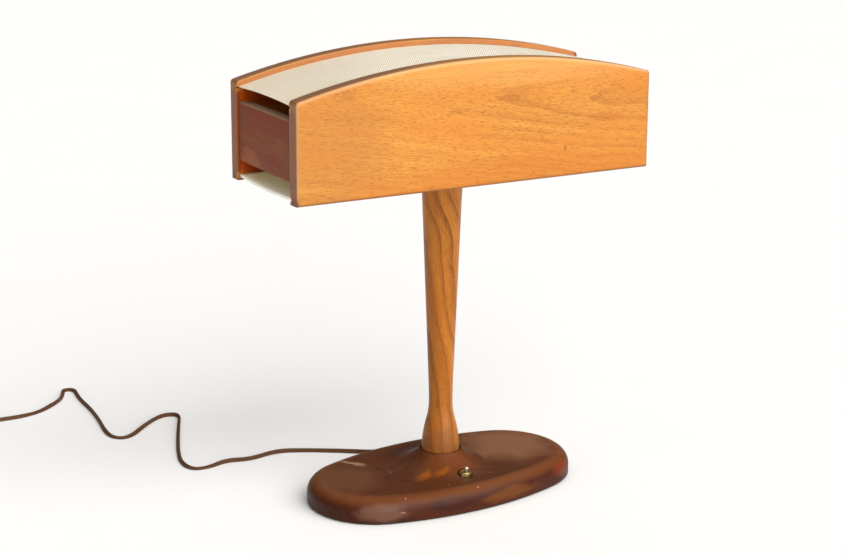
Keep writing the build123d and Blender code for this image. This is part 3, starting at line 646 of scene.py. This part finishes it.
def base_surface():
    """The base: ovals drawn in up the side and over the round, flat to the boss, then circles
    up the boss's hollow side, over its edge and down the post's seat to the bore."""
    a = np.radians(np.linspace(0, 90, 17))
    low = [(base_break * (1 - np.sin(b)), base_low + base_break * (1 - np.cos(b))) for b in a[::4]]
    high = [(base_round * (1 - np.cos(b)), base_top - base_round * (1 - np.sin(b))) for b in a]
    steps = [*low, *high]
    loops = [base_oval(inset) for inset, _ in steps]
    heights = [height for _, height in steps]
    rim = loops[-1]
    ray = rim / np.hypot(*rim.T)[:, None]
    for share in np.linspace(0, 1, 9)[1:-1]:
        loops.append(rim * (1 - share) + ray * boss_reach * share)
        heights.append(base_top)
    hollow, _ = tangent_arc((boss_reach, base_top), (-1, 0), (boss_radius, boss_top), 40)
    ease = arc((boss_radius - boss_ease * 0.6, boss_top - boss_ease), boss_ease, 30, 90, 5)
    seat = [(seat_radius, boss_top), (seat_radius, seat_height), (bore_radius, seat_height)]
    profile = np.concatenate([hollow[hollow[:, 1] < ease[0, 1]], ease, seat, [(bore_radius, base_low)]])
    for radius, height in profile:
        loops.append(ray * radius)
        heights.append(height)
    loops.append(loops[0])
    heights.append(heights[0])
    # the rim's upper edge is rubbed paler, and the wood below it is darker
    wear_and_highlight, side = np.zeros(len(loops)), np.zeros(len(loops))
    wear_and_highlight[len(low) : len(low) + len(high)] = np.clip(np.sin(2 * a - 0.7), 0, 1)
    side[: len(low) + len(high)] = [1] * len(low) + list(np.cos(a))
    grid = turned_in_plan(lofted(loops, heights), base_turn)
    # painted shade darkens the seat from its edge in, which every loop from there on lies inside
    seat_shade = np.array([np.hypot(*loop[0]) <= boss_radius - 0.2 for loop in loops], float)
    shades = {"wear_and_highlight": wear_and_highlight, "side": side, "seat_shade": seat_shade}
    return grid, {name: values[:, None] + 0 * grid[..., 0] for name, values in shades.items()}


def base_marks():
    """The base's marks: where, how large, the way each lies, its colour, strength and edge."""
    marks = [
        ((-8, -30, 36), (96, 56, 40), 0, "#7A3C0C", 0.4, 0.8),
        ((-60, -60, 29), (120, 60, 16), 0, "#54290E", 0.4, 0.8),
        ((-120, 10, 29), (110, 110, 20), 0, "#6E4830", 0.5, 0.8),
        ((100, 10, 29), (150, 140, 20), 0, "#94684A", 0.6, 0.8),
        ((-44, -33, 32), (38, 16, 20), 20, "#A8580A", 0.45, 1.3),
        ((-22, -38, 32), (30, 12, 20), 10, "#A8580A", 0.4, 1.4),
        ((-66, -8, 32), (44, 52, 16), 30, "#47200C", 0.5, 1.2),
        ((-71, 20, 29), (16, 4.5, 8), 60, "#1E0E08", 0.6, 1.2),
        ((-80, -12, 29), (22, 4, 6), 80, "#241008", 0.6, 1.2),
        ((-70, -29, 29), (24, 4.5, 6), 10, "#1E0E08", 0.7, 1.2),
        ((-51, -3, 33), (16, 4, 8), 60, "#241008", 0.6, 1.2),
        ((-91, 56, 29), (30, 7, 8), -56, "#B08C6C", 0.55, 0.9),
        ((-83, 44, 29), (26, 13, 8), -56, "#B08C6C", 0.5, 1.1),
        ((-66, 2, 29), (2.3, 2.0, 6), 0, "#E8D8C4", 0.5, 0.3),
        ((-64, 10, 29), (2.0, 1.8, 6), 0, "#E8D8C4", 0.5, 0.3),
        ((29, -58, 29), (2.3, 2.0, 4), 30, "#E8D8C4", 0.5, 0.4),
        ((-5, -84, 27), (4.6, 2.6, 5), 40, "#D8BFA4", 0.5, 1.4),
        ((-31, -65, 29), (2.2, 2.0, 4), 0, "#E8D8C4", 0.5, 0.3),
        ((-58, -88, 25), (2.4, 2.2, 5), 0, "#D8BFA4", 0.45, 0.3),
        ((-78, -81, 26), (2.2, 2.0, 5), 0, "#E8D8C4", 0.5, 0.3),
        ((-92, -71, 27), (2.3, 2.0, 5), 0, "#E8D8C4", 0.5, 0.3),
        ((-98, -75, 13), (9, 8, 4), 0, "#C09468", 0.55, 1.4),
        ((40, -91, 12), (110, 36, 20), 0, "#8C4E12", 0.35, 0.8),
        ((122, -62, 17), (50, 50, 20), 0, "#8A3408", 0.4, 0.8),
        ((-120, -66, 13), (90, 50, 26), 0, "#8A6250", 0.4, 0.6),
    ]
    return [(turned_in_plan(np.array(place), base_turn), *rest) for place, *rest in marks]


def base_holes():
    """What is cut from the base: the switch's spot face, hole and pocket, the wiring channel,
    the ballast's recesses and the cord's hole."""
    circle = arc((0, 0), 1, 0, 360, 65)
    channel = rounded_rectangle(channel_half, (channel_rear - channel_front) / 2, recess_corner)
    ballast = rounded_rectangle(ballast_long, ballast_wide, recess_corner)
    shells = [
        slab(circle * spot_radius, spot_height, boss_top, (0, switch_y)),
        slab(circle * neck_hole, pocket_top - 1, spot_height + 1, (0, switch_y)),
        box_bar(
            (-pocket_half_x, switch_y - pocket_half_y, channel_top - 1),
            (pocket_half_x, switch_y + pocket_half_y, pocket_top),
        ),
        slab(channel, 0, channel_top, (0, (channel_rear + channel_front) / 2)),
        slab(ballast, 0, ballast_top, (-ballast_x, 0)),
        slab(ballast, 0, ballast_top, (ballast_x, 0)),
        rod((0, channel_rear - 2, exit_height), (0, 1, 0), exit_radius, 40),
    ]
    return [turned_in_plan(shell, base_turn) for shell in shells]


def hex_nut():
    """The switch's nut: a hexagon's radius is half its flats over the cosine of the angle from
    the nearest flat, and a cone takes its upper corners down."""
    angle = np.linspace(0, 2 * np.pi, 97)
    radius = nut_flats / 2 / np.cos((angle + np.pi / 6) % (np.pi / 3) - np.pi / 6)
    bore, dome = (np.full(97, value) for value in (neck_radius + bore_play, nut_flats / 2 - 0.4))
    top = nut_height - (radius - dome) * np.tan(nut_slope)
    rows = [(bore, 0), (radius, 0), (radius, top), (dome, nut_height), (bore, nut_height), (bore, 0)]
    x, y = np.cos(angle), np.sin(angle)
    return np.stack([np.stack(np.broadcast_arrays(r * x, r * y, z), -1) for r, z in rows])


def ring_profile():
    """The thin ring under the nut, bevelled round its top."""
    bore, bevel = neck_radius + bore_play, 0.3
    low = [(bore, 0), (ring_radius, 0), (ring_radius, ring_thickness - bevel)]
    return [*low, (ring_radius - bevel, ring_thickness), (bore, ring_thickness), (bore, 0)]


def neck_profile():
    """The threaded neck, with a bead over its nut and a round lip to the lever's hole."""
    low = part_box("switch_neck")[0][2] * 1000
    root = neck_radius - 0.2
    outside = [(0, low), (root, low), (root, neck_top - 1.5), (neck_radius, neck_top - 1.1)]
    bead = [(neck_radius, neck_top - 0.5), (neck_radius - 0.4, neck_top), (lever_bore + 0.4, neck_top)]
    inside = [(lever_bore, neck_top - 0.4), (lever_bore, lever_floor), (0, lever_floor)]
    return [*outside, *bead, *inside]


def lever_grid():
    """The toggle's lever about its pivot: a ball in the neck, a stem that widens, a ball tip,
    turned round Z, then leaned to the front."""
    root = arc((0, 0), pivot_ball, -90, 66, 24)
    tip = arc((0, tip_reach), tip_ball, -52, 90, 24)
    grid = revolve(np.concatenate([root, tip]), 48)
    c, s = np.cos(lever_lean), np.sin(lever_lean)
    return grid @ np.array([[1, 0, 0], [0, c, s], [0, -s, c]])


# ---------------------------------------------------------------- cord and plug

cord_width, cord_thickness = 5.2, 2.7
lying_height = cord_thickness / 2
second_layer = 4.5
coil_x, coil_y, coil_radius, coil_pitch = -453, 456, 31, 5.6
plug_start, plug_end, plug_height = -500, -536, 9
plug_neck, plug_half_wide, plug_half_tall, finger_groove = 3.4, 13, 9, 0.5
tie_height, tie_round, tie_thickness = 3.3, 2.2, 0.6

# the cord's route along the table to its coil, chosen along the photograph, with its
# height over the table: half its thickness where it lies flat and half its width on edge
lying = [
    (-25, 133, 2.4), (-49, 150, 2.4), (-86, 174, 2.0), (-120, 188, 2.6), (-158, 176, 2.6),
    (-186, 186, 2.6), (-210, 177, 1.5), (-231, 178, 1.5), (-236, 202, 2.3), (-226, 236, 2.2),
    (-206, 286, 2.2), (-187, 330, 2.3), (-170, 367, 2.6), (-188, 375, 2.6), (-208, 363, 2.6),
    (-229, 344, 2.6), (-247, 326, 2.0), (-263, 318, 1.5), (-275, 330, 1.5), (-275, 354, 2.4),
    (-267, 396, 2.5), (-262, 440, 2.5), (-261, 476, 2.5), (-258, 500, 2.4), (-253, 526, 2.0),
    (-266, 531, 1.9), (-273, 513, 2.4), (-282, 495, 2.6), (-299, 478, 2.6), (-324, 461, 1.4),
    (-353, 453, 2.4), (-386, 455, 2.4), (-417, 455, 2.4), (-448, 456, 1.4),
]


def cord_route():
    """The cord's control points: out of the bushing, along the table, round the coil's eight
    half turns (each a half circle, its radius one pitch less or more than the one before), and
    up to the plug. A control polygon of 30 degree steps lies outside its curve, so the turns'
    radii are over the cosine of 15 degrees."""
    straight = np.array([(0, bushing_face, exit_height), (0, bushing_face + 14, exit_height)])
    half = np.arange(8)
    inward = np.minimum(half, 6 - half)
    radius = coil_radius - inward * coil_pitch / 2
    way = np.where(half % 2, 1, -1)
    from_y = coil_y + np.concatenate([[0], np.cumsum(2 * way * radius)[:-1]])
    step = (np.arange(6) + 0.5) * np.pi / 6
    wide = radius / np.cos(np.pi / 12)
    x = coil_x + (way * wide)[:, None] * np.sin(step)
    y = (from_y + way * radius)[:, None] - (way * wide)[:, None] * np.cos(step)
    turn = (half[:, None] + step / np.pi).ravel()
    # the lower layer, up over it, and the outermost turn down beside it and up again
    height = np.interp(turn, [0, 3.1, 3.7, 6.2, 6.8, 7.3, 7.75, 8], [0, 0, 1, 1, 0, 0, 1, 1])
    height = lying_height + (second_layer - lying_height) * height
    coil = np.c_[x.ravel(), y.ravel(), height]
    rise = [(-474, coil_y, 6.6), (-489, coil_y, plug_height), (plug_start, coil_y, plug_height)]
    last = [(coil_x, coil_y, second_layer), *rise]
    return np.concatenate([turned_in_plan(straight, base_turn), [(-12, 121, 4.6)], lying, coil, last])


def smooth_path(points):
    """The NURBS spline of order 3 that has the points as its control points, as a line."""
    curve = bpy.data.curves.new("route", "CURVE")
    curve.dimensions = "3D"
    spline = curve.splines.new("NURBS")
    spline.points.add(len(points) - 1)
    spline.points.foreach_set("co", np.c_[points / 1000, np.ones(len(points))].ravel())
    spline.order_u, spline.use_endpoint_u, spline.resolution_u = 3, True, 6
    helper = bpy.data.objects.new("route", curve)
    bpy.context.collection.objects.link(helper)
    view = bpy.context.evaluated_depsgraph_get()
    line = bpy.data.meshes.new_from_object(helper.evaluated_get(view))
    path = np.empty(3 * len(line.vertices))
    line.vertices.foreach_get("co", path)
    bpy.data.objects.remove(helper)
    bpy.data.meshes.remove(line)
    return path.reshape(-1, 3) * 1000


def cord_grid(path):
    """The twin cord: a section of two circles side by side carried along the path, with each
    end closed on its middle. Up to its coil its tilt follows from its height over the table,
    less one circle's radius: the sine of the tilt is that over half the circles' spacing."""
    lobe, apart = cord_thickness / 2, cord_width / 2 - cord_thickness / 2
    section = np.concatenate([arc((apart, 0), lobe, -135, 135, 13), arc((-apart, 0), lobe, 45, 315, 13)])
    section = np.concatenate([section, section[:1]])
    way = np.gradient(path, axis=0)
    way /= np.linalg.norm(way, axis=1)[:, None]
    side = np.cross(way, (0, 0, 1))
    side /= np.linalg.norm(side, axis=1)[:, None]
    up = np.cross(side, way)
    sine = np.clip((path[:, 2:] - lobe) / apart, 0, 1)
    sine[np.argmax(path[:, 0] < coil_x) :] = 0
    cosine = np.sqrt(1 - sine**2)
    wide, thick = side * cosine + up * sine, up * cosine - side * sine
    across, over = section.T[:, None, :, None]
    grid = path[:, None] + wide[:, None] * across + thick[:, None] * over
    return capped(grid, path[0], path[-1])


def plug_grid():
    """The moulded plug: superellipses |y/a|^n + |z/b|^n = 1 along X, growing from the round
    neck over a shoulder to the body, with finger grooves across its upper and lower faces."""
    u = np.linspace(0, 1, 97)
    body = np.clip((u - 0.24) / 0.12, 0, 1)
    body = body * body * (3 - 2 * body)
    nose = 1 - 0.1 * np.clip((u - 0.955) / 0.045, 0, 1) ** 2
    wave = 0.5 + 0.5 * np.cos(2 * np.pi * (u - 0.45) / 0.1)
    rib = finger_groove * wave * ((u > 0.4) & (u < 0.9))
    neck = (plug_neck + 5 * u) * (1 - body)
    wide, tall = ((neck + size * body) * nose for size in (plug_half_wide, plug_half_tall - rib))
    power = 2 / (2 + 1.6 * body)
    angle = np.linspace(0, 2 * np.pi, 73)
    c, s = np.cos(angle), np.sin(angle)
    y = wide[:, None] * np.sign(c) * np.abs(c) ** power[:, None]
    z = tall[:, None] * np.sign(s) * np.abs(s) ** power[:, None]
    x = np.broadcast_to((plug_start + (plug_end - plug_start) * u)[:, None], y.shape)
    grid = np.stack([x, coil_y + y, plug_height + z], -1)
    return capped(grid, grid[0].mean(0), grid[-1].mean(0))


def tie_grid():
    """The tie: a flat band that follows a rounded rectangle round the coil's near side."""
    low, high = corners("cord_tie")
    middle = (low + high) / 2
    half_x, half_y = (high - low)[:2] / 2 - (0, 0.2)
    outer = rounded_rectangle(half_y, tie_height, tie_round)
    thick = tie_thickness
    inner = rounded_rectangle(half_y - thick, tie_height - thick, tie_round - thick)
    rows = [(inner, -half_x), (outer, -half_x), (outer, half_x), (inner, half_x), (inner, -half_x)]
    grid = np.stack([np.insert(loop, 0, x, axis=1) for loop, x in rows])
    return grid + (middle[0], middle[1], tie_height)


# ---------------------------------------------------------------- what a user would change


class LampFinishes(bpy.types.PropertyGroup):
    board_light: FloatVectorProperty(
        name="Side boards, light", description="The lighter wood of the side boards",
        subtype="COLOR", size=4, min=0, max=1, default=linear("#CF8D36"),
    )
    light_front: FloatProperty(
        name="Front light", description="Strength of the wide soft light in front", default=4.35, min=0
    )
    light_room: FloatProperty(
        name="Room light", description="Brightness of the room round the lamp", default=0.1, min=0
    )


class LampSizes(bpy.types.PropertyGroup):
    thread: FloatProperty(
        name="Weave",
        description="Spacing of the linen's threads, three times the real one so that it shows",
        default=0.0024, min=0.0005, unit="LENGTH",
    )
    ring_width: FloatProperty(
        name="Rings", description="Width of the side boards' growth rings", default=0.009,
        min=0.001, unit="LENGTH",
    )
    floor: FloatProperty(
        name="Floor", description="Length of the floor's sides", default=30.0, min=2, unit="LENGTH"
    )


# ---------------------------------------------------------------- operators


class LAMP_OT_camera(bpy.types.Operator):
    """Places the camera where the photograph was taken from"""

    bl_idname = "lamp.camera"
    bl_label = "Camera"

    def execute(self, context):
        a, e, roll = camera_yaw, camera_pitch, camera_roll
        view = np.array((np.sin(a) * np.cos(e), np.cos(a) * np.cos(e), -np.sin(e)))
        right = np.array((np.cos(a), -np.sin(a), 0))
        up = np.cross(right, view)
        right, up = right * np.cos(roll) + up * np.sin(roll), up * np.cos(roll) - right * np.sin(roll)
        data = bpy.data.cameras.new("photo_camera")
        data.sensor_width, data.lens = 36, 36 * focal_pixels / photo_width
        data.clip_start, data.clip_end = 0.01, 100
        camera = bpy.data.objects.new("photo_camera", data)
        context.collection.objects.link(camera)
        turn = np.stack([right, up, -view], 1)
        camera.matrix_world = Matrix.Translation(camera_place) @ Matrix(turn.tolist()).to_4x4()
        context.scene.camera = camera
        return {"FINISHED"}


class LAMP_OT_cord(bpy.types.Operator):
    """Makes the twin cord, its plug and the tie round its coil"""

    bl_idname = "lamp.cord"
    bl_label = "Cord and plug"

    def execute(self, context):
        # extruded PVC: an even brown with a dull shine along each of its two cores
        pvc = mottled("brown_cord_pvc", ("#4A2D18", "#5D3B21"), 0.45, relief=0.05, Specular_IOR_Level=0.2)
        # moulded PVC: a shade darker, with the fine texture of its mould
        plug_pvc = mottled("brown_plug_pvc", ("#38251A", "#463022"), 0.45, relief=0.1)
        # moulded nylon: nearly black brown, with a soft shine
        nylon = mottled("brown_nylon", ("#2C1F18", "#382A20"), 0.45, relief=0.05)
        # rolled and stamped brass: clean yellow, with a slightly cloudy shine
        blades = mottled("sheet_brass_blades", ("#B59A5A", "#C9AE6C"), 0.35, metallic=1.0)
        path = smooth_path(cord_route())
        cord = add_piece("twin_cord", "power_cord", cord_grid(path), pvc, "brown_cord_pvc", crease=70)
        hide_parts("cord_coil")
        plug = add_piece("plug", "plug_body", plug_grid(), plug_pvc, "brown_plug_pvc", crease=50)
        tie = add_piece("coil_tie", "cord_tie", tie_grid(), nylon, "brown_nylon", crease=50)
        for material, node in ((blades, "plug_blades"), (nylon, "cord_bushing"), (pvc, "cord_tail")):
            finish_nodes(material, node)
        return {"FINISHED"}


class LAMP_OT_shade_boards(bpy.types.Operator):
    """Makes the two arched side boards and the two end boards"""

    bl_idname = "lamp.shade_boards"
    bl_label = "Shade boards"

    def execute(self, context):
        # flat-sawn boards: honey brown, an arch of rings on the right, a painted highlight with some
        # wear along the outer rounds, painted shade and a grey sheen on their upper edges, darker
        # where the end grain drank the oil, painted shade along the bottom edge and the right end,
        # painted shade and an orange glow inside, out of the light, and duller and pinker over the
        # sheet
        boards = walnut(
            "side_board_walnut", light=context.scene.lamp_finishes.board_light, dark="#A4621C",
            warm="#C27626", grain=(1, 0, -0.09), pith=(60, -60, 462), cone=0.07,
            ring=context.scene.lamp_sizes.ring_width * 1000, line=0.2, plain=(-110, -10),
            contrast=1.15, pore=0.55,
            tints=(
                ("wear_and_highlight", "#E6BC8C", 0.55, "MIX"),
                ("top_shade_and_sheen", "#694E3D", 0.75, "MIX"),
                ("duller_over_sheet", "#A46840", 0.7, "MIX"),
                ("end_grain", "#743A14", 0.85, "MIX"),
                ("painted_edge_shade", "#4E2808", 0.85, "MIX"),
                ("inside", "#F88E24", 0.9, "MULTIPLY"),
            ),
            marks=(
                ((-175, -84, 420), (190, 30, 200), 0, "#98602C", 0.3, 0.6),
                ((60, -84, 376), (520, 30, 60), 0, "#B05E10", 0.35, 0.6),
                ((60, -84, 500), (460, 30, 76), 0, "#DDA860", 0.3, 0.6),
                ((32, -84, 460), (46, 20, 11), 0, "#94500F", 0.25, 1.4),
                ((158, -84, 430), (70, 20, 16), 0, "#A04E14", 0.3, 1.4),
                ((106, -84, 400), (4, 6, 9), 0, "#7A3C10", 0.6, 0.9),
                ((-30, -84, 452), (24, 6, 8), 0, "#8A4A18", 0.25, 1.4),
                ((-157, -84, 478), (24, 6, 18), 0, "#7E4A20", 0.25, 1.4),
            ),
        )
        # a darker, redder cut across the ends, dry and dull, paler and greyer along the top from dust
        # and painted light
        ends = walnut(
            "end_board_walnut", light="#9C5A38", dark="#5A2614", warm="#7E3620",
            grain=(0, 1, 0.05), pith=(-260, 0, 380), cone=0.05, bands=0.4, line=0.06, gloss=0.55,
            shine=0.12, tints=(("dust_and_top_light", "#A89278", 0.75, "MIX"),),
            marks=(
                ((-214, 38, 396), (14, 70, 30), 0, "#B06A44", 0.35, 1.6),
                ((-205, 62, 440), (60, 60, 44), 0, "#6A4A30", 0.45, 1.0),
                ((-205, -60, 420), (60, 40, 90), 0, "#6E4630", 0.4, 1.0),
            ),
        )
        for side, name in ((-1, "front"), (1, "rear")):
            grid, shades = side_board(side)
            cuts = {"shades": shades, "holes": board_cuts(side)}
            node = f"{name}_board"
            add_piece(f"{name}_side_board", node, grid, boards, "side_board_walnut", **cuts)
        for side, name in ((-1, "left"), (1, "right")):
            grid, shades = end_board(side)
            cuts = {"shades": shades, "holes": end_board_holes(side)}
            node = f"{name}_end_board"
            add_piece(f"{name}_end_piece", node, grid, ends, "end_board_walnut", **cuts)
        # plain sawn hardwood, pale and dull, because nothing seals it
        hidden = walnut("hidden_hardwood", "#C79F6E", "#A98050", "#B98D5C", gloss=0.6)
        finish_nodes(hidden, "bridge_block", "end_board_dowels", "bridge_dowels")
        return {"FINISHED"}


class LAMP_OT_sheets(bpy.types.Operator):
    """Makes the linen sheet above and the two acrylic sheets below"""

    bl_idname = "lamp.sheets"
    bl_label = "Translucent sheets"

    def execute(self, context):
        thread = context.scene.lamp_sizes.thread
        linen = linen_laminate(thread, light="#FFF9EA", dark="#E0C9A6", smudge="#D4C4AC")
        add_piece("linen_sheet", "top_diffuser", top_sheet(), linen, "linen_laminate", "top_sheet")
        # cast acrylic, sanded matt and yellowed: a plain beige that glows where light reaches it
        acrylic = mottled(
            "frosted_acrylic", ("#FAEBD2", "#FFF4E0"), 0.55, grain=60.0, relief=0.05,
            Subsurface_Weight=1.0, Subsurface_Radius=(1.0, 0.9, 0.75), Subsurface_Scale=0.008,
        )
        for side, name in ((-1, "left"), (1, "right")):
            piece, node, body = f"{name}_acrylic_sheet", f"{name}_low_diffuser", f"{name}_low_sheet"
            add_piece(piece, node, low_sheet(side), acrylic, "frosted_acrylic", body)
        return {"FINISHED"}


class LAMP_OT_post(bpy.types.Operator):
    """Turns the post"""

    bl_idname = "lamp.post"
    bl_label = "Post"

    def execute(self, context):
        # straight-grained stock, turned: long dark streaks that run out at a slight angle, and
        # painted shade round the foot where it stands in the seat
        wood = walnut(
            "post_walnut", light="#BC7420", dark="#6E3808", warm="#9C5608",
            grain=(-0.137, 0.076, 0.988), pith=(-60, 10, 200), cone=0.0, ring=13.0, bands=0.7,
            line=0.3, wander=26, gloss=0.36, shine=0.25, tints=(("seat_shade", "#1E0E08", 0.8, "MIX"),),
            marks=(
                ((0, 0, 50), (80, 80, 74), 0, "#6A4024", 0.6, 0.6),
                ((17, -12, 344), (16, 20, 26), 0, "#5A2408", 0.5, 0.9),
                ((2, -15, 220), (4, 8, 9), 0, "#3E1C0A", 0.6, 0.9),
            ),
        )
        grid = revolve(post_profile(), 128)
        # painted shade on the foot's lowest part, down in the seat
        seat_shade = np.clip((seat_height + 2 - grid[..., 2]) / 1.5, 0, 1)
        add_piece("turned_post", "post", grid, wood, "post_walnut", shades={"seat_shade": seat_shade})
        return {"FINISHED"}


class LAMP_OT_base(bpy.types.Operator):
    """Makes the oval base and its felt"""

    bl_idname = "lamp.base"
    bl_label = "Base"

    def execute(self, context):
        # one thick plank, turned and carved: dark red brown, rubbed lighter round its rim, with
        # an old stain to the left of the switch, a scuff behind that, small chips in front and
        # painted shade in the post's seat
        wood = walnut(
            "base_walnut", light="#68391B", dark="#34180B", warm="#542608", grain=(0.98, 0.2, 0),
            pith=(40, 60, -30), cone=0.12, ring=11.0, gloss=0.42, shine=0.16,
            tints=(
                ("side", "#B48A5C", 0.9, "MULTIPLY"),
                ("wear_and_highlight", "#8A4E22", 0.35, "MIX"),
                ("seat_shade", "#140A06", 0.85, "MIX"),
            ),
            marks=base_marks(),
        )
        grid, shades = base_surface()
        add_piece("oval_base", "base", grid, wood, "base_walnut", shades=shades, holes=base_holes())
        # pressed wool felt: dark green, with a matt nap
        felt = mottled("green_felt", ("#23352B", "#31483A"), 0.9, grain=0.8, relief=0.8)
        finish_nodes(felt, "felt_pad")
        # sand-cast iron: dull dark grey and rough
        iron = mottled("cast_iron", ("#3A3A3A", "#4A4A48"), 0.6, metallic=1.0, relief=0.5)
        finish_nodes(iron, "left_ballast", "right_ballast")
        return {"FINISHED"}


class LAMP_OT_switch(bpy.types.Operator):
    """Makes the toggle switch's ring, nut, neck and lever"""

    bl_idname = "lamp.switch"
    bl_label = "Toggle switch"

    def execute(self, context):
        # turned brass whose lacquer has gone: yellow where it is touched, brown where it isn't
        brass = mottled("aged_brass", ("#8A7848", "#D8C68E"), 0.35, grain=3.0, metallic=1.0, spread=0.12)
        # the same brass where no finger reaches it: brown and dull, and darker still as painted
        # shade round the nut
        dark = mottled("tarnish_and_shade_brass", ("#2E2414", "#5E4C28"), 0.45, grain=2.0, metallic=1.0)
        # nickel over brass, rubbed by fingers: pale, with a pink cast
        tip = mottled("worn_nickel_brass", ("#B49C7E", "#DCCBB2"), 0.38, grain=3.0, metallic=1.0)
        nut_low = spot_height + ring_thickness
        for name, node, grid, height, metal, body in (
            ("switch_washer", "switch_ring", revolve(ring_profile()), spot_height, dark, "lamp"),
            ("switch_hex_nut", "switch_nut", hex_nut(), nut_low, brass, "lamp"),
            ("switch_threaded_neck", "switch_neck", revolve(neck_profile()), 0, brass, "lamp"),
            ("switch_lever", "toggle_lever", lever_grid(), pivot_height, tip, "toggle"),
        ):
            grid = turned_in_plan(grid + (0, switch_y, height), base_turn)
            add_piece(name, node, grid, metal, "aged_brass", body)
        # moulded phenolic: near black, hard and a little shiny
        phenolic = mottled("phenolic", ("#241A15", "#30241D"), 0.4)
        finish_nodes(phenolic, "switch_body", "terminal_block")
        return {"FINISHED"}


class LAMP_OT_fittings(bpy.types.Operator):
    """Finishes the lampholders, lamps, pipe and wiring inside"""

    bl_idname = "lamp.fittings"
    bl_label = "Inner fittings"

    def execute(self, context):
        # zinc-plated steel, grey and cloudy
        steel = mottled("zinc_steel", ("#9C9C98", "#B4B4B0"), 0.4, metallic=1.0)
        finish_nodes(steel, "lamp_pipe", "low_washer", "top_washer", "low_nut", "top_nut")
        finish_nodes(steel, "lamp_bracket", "ballast_screws")
        # the leads' soft PVC: black, a little shiny
        leads = mottled("lead_pvc", ("#1E1C1B", "#2A2725"), 0.4)
        finish_nodes(leads, "switch_leads")
        # glazed porcelain, white and glossy; pressed brass; nickel over brass, a warm grey; glass
        # frosted inside
        for material, node in (
            (mottled("glazed_porcelain", ("#E9E4D8", "#F2EEE4"), 0.15), "lampholder"),
            (mottled("sheet_brass", ("#B59A5A", "#C9AE6C"), 0.35, metallic=1.0), "screw_shell"),
            (mottled("nickel_brass", ("#A8A596", "#BDBAAC"), 0.3, metallic=1.0), "lamp_cap"),
            (mottled("frosted_glass", ("#ECEAE4", "#F6F4EF"), 0.3), "lamp_glass"),
            (leads, "lamp_lead"),
        ):
            finish_nodes(material, f"left_{node}", f"right_{node}")
        return {"FINISHED"}


class LAMP_OT_stage(bpy.types.Operator):
    """Lays the floor and sets the soft lights"""

    bl_idname = "lamp.stage"
    bl_label = "Floor and lights"

    def execute(self, context):
        scene = context.scene
        half = scene.lamp_sizes.floor * 500
        plane = np.array([[(x, y, 0) for x in (-half, half)] for y in (-half, half)], float)
        floor = bpy.data.objects.new("floor", mesh_of("floor", [plane]))
        scene.collection.objects.link(floor)
        # matt white paper
        floor.data.materials.append(mottled("white_paper", ("#F1F0EE", "#F2F1EF"), 0.9, grain=300.0))
        world = bpy.data.worlds.new("room")
        world.use_nodes = True
        room = world.node_tree.nodes["Background"].inputs
        room["Color"].default_value = linear("#FFFDFA")
        room["Strength"].default_value = scene.lamp_finishes.light_room
        scene.world = world
        # three wide soft lights: from the front like a large window, from above, and a faint
        # one from the left; each as the way to it, its share of strength and its width
        for name, way, share, spread in (
            ("front", (0.7, -3.0, 1.6), 1.0, 75),
            ("over", (0.5, 0.0, 3.0), 0.28, 100),
            ("side", (-3.0, -1.2, 0.8), 0.1, 60),
        ):
            sun = bpy.data.lights.new(name, "SUN")
            sun.energy, sun.angle = scene.lamp_finishes.light_front * share, np.radians(spread)
            lamp = bpy.data.objects.new(name, sun)
            scene.collection.objects.link(lamp)
            lamp.matrix_world = Vector(way).to_track_quat("Z", "Y").to_matrix().to_4x4()
        scene.view_settings.view_transform = "Standard"
        scene.view_settings.look = "None"
        return {"FINISHED"}


class LAMP_PT_panel(bpy.types.Panel):
    bl_label = "Desk Lamp"
    bl_idname = "LAMP_PT_panel"
    bl_space_type = "VIEW_3D"
    bl_region_type = "UI"
    bl_category = "Desk Lamp"

    def draw(self, context):
        for group in (context.scene.lamp_sizes, context.scene.lamp_finishes):
            for name in group.__annotations__:
                self.layout.prop(group, name)
        for operator in operators:
            self.layout.operator(operator.bl_idname)


operators = (
    LAMP_OT_camera,
    LAMP_OT_cord,
    LAMP_OT_shade_boards,
    LAMP_OT_sheets,
    LAMP_OT_post,
    LAMP_OT_base,
    LAMP_OT_switch,
    LAMP_OT_fittings,
    LAMP_OT_stage,
)
classes = (LampSizes, LampFinishes, *operators, LAMP_PT_panel)


def register():
    for item in classes:
        bpy.utils.register_class(item)
    bpy.types.Scene.lamp_sizes = PointerProperty(type=LampSizes)
    bpy.types.Scene.lamp_finishes = PointerProperty(type=LampFinishes)


def unregister():
    del bpy.types.Scene.lamp_finishes
    del bpy.types.Scene.lamp_sizes
    for item in reversed(classes):
        bpy.utils.unregister_class(item)


def main():
    """Makes the lamp and its stage."""
    register()
    for operator in operators:
        group, name = operator.bl_idname.split(".")
        getattr(getattr(bpy.ops, group), name)()


if __name__ == "__main__":
    main()
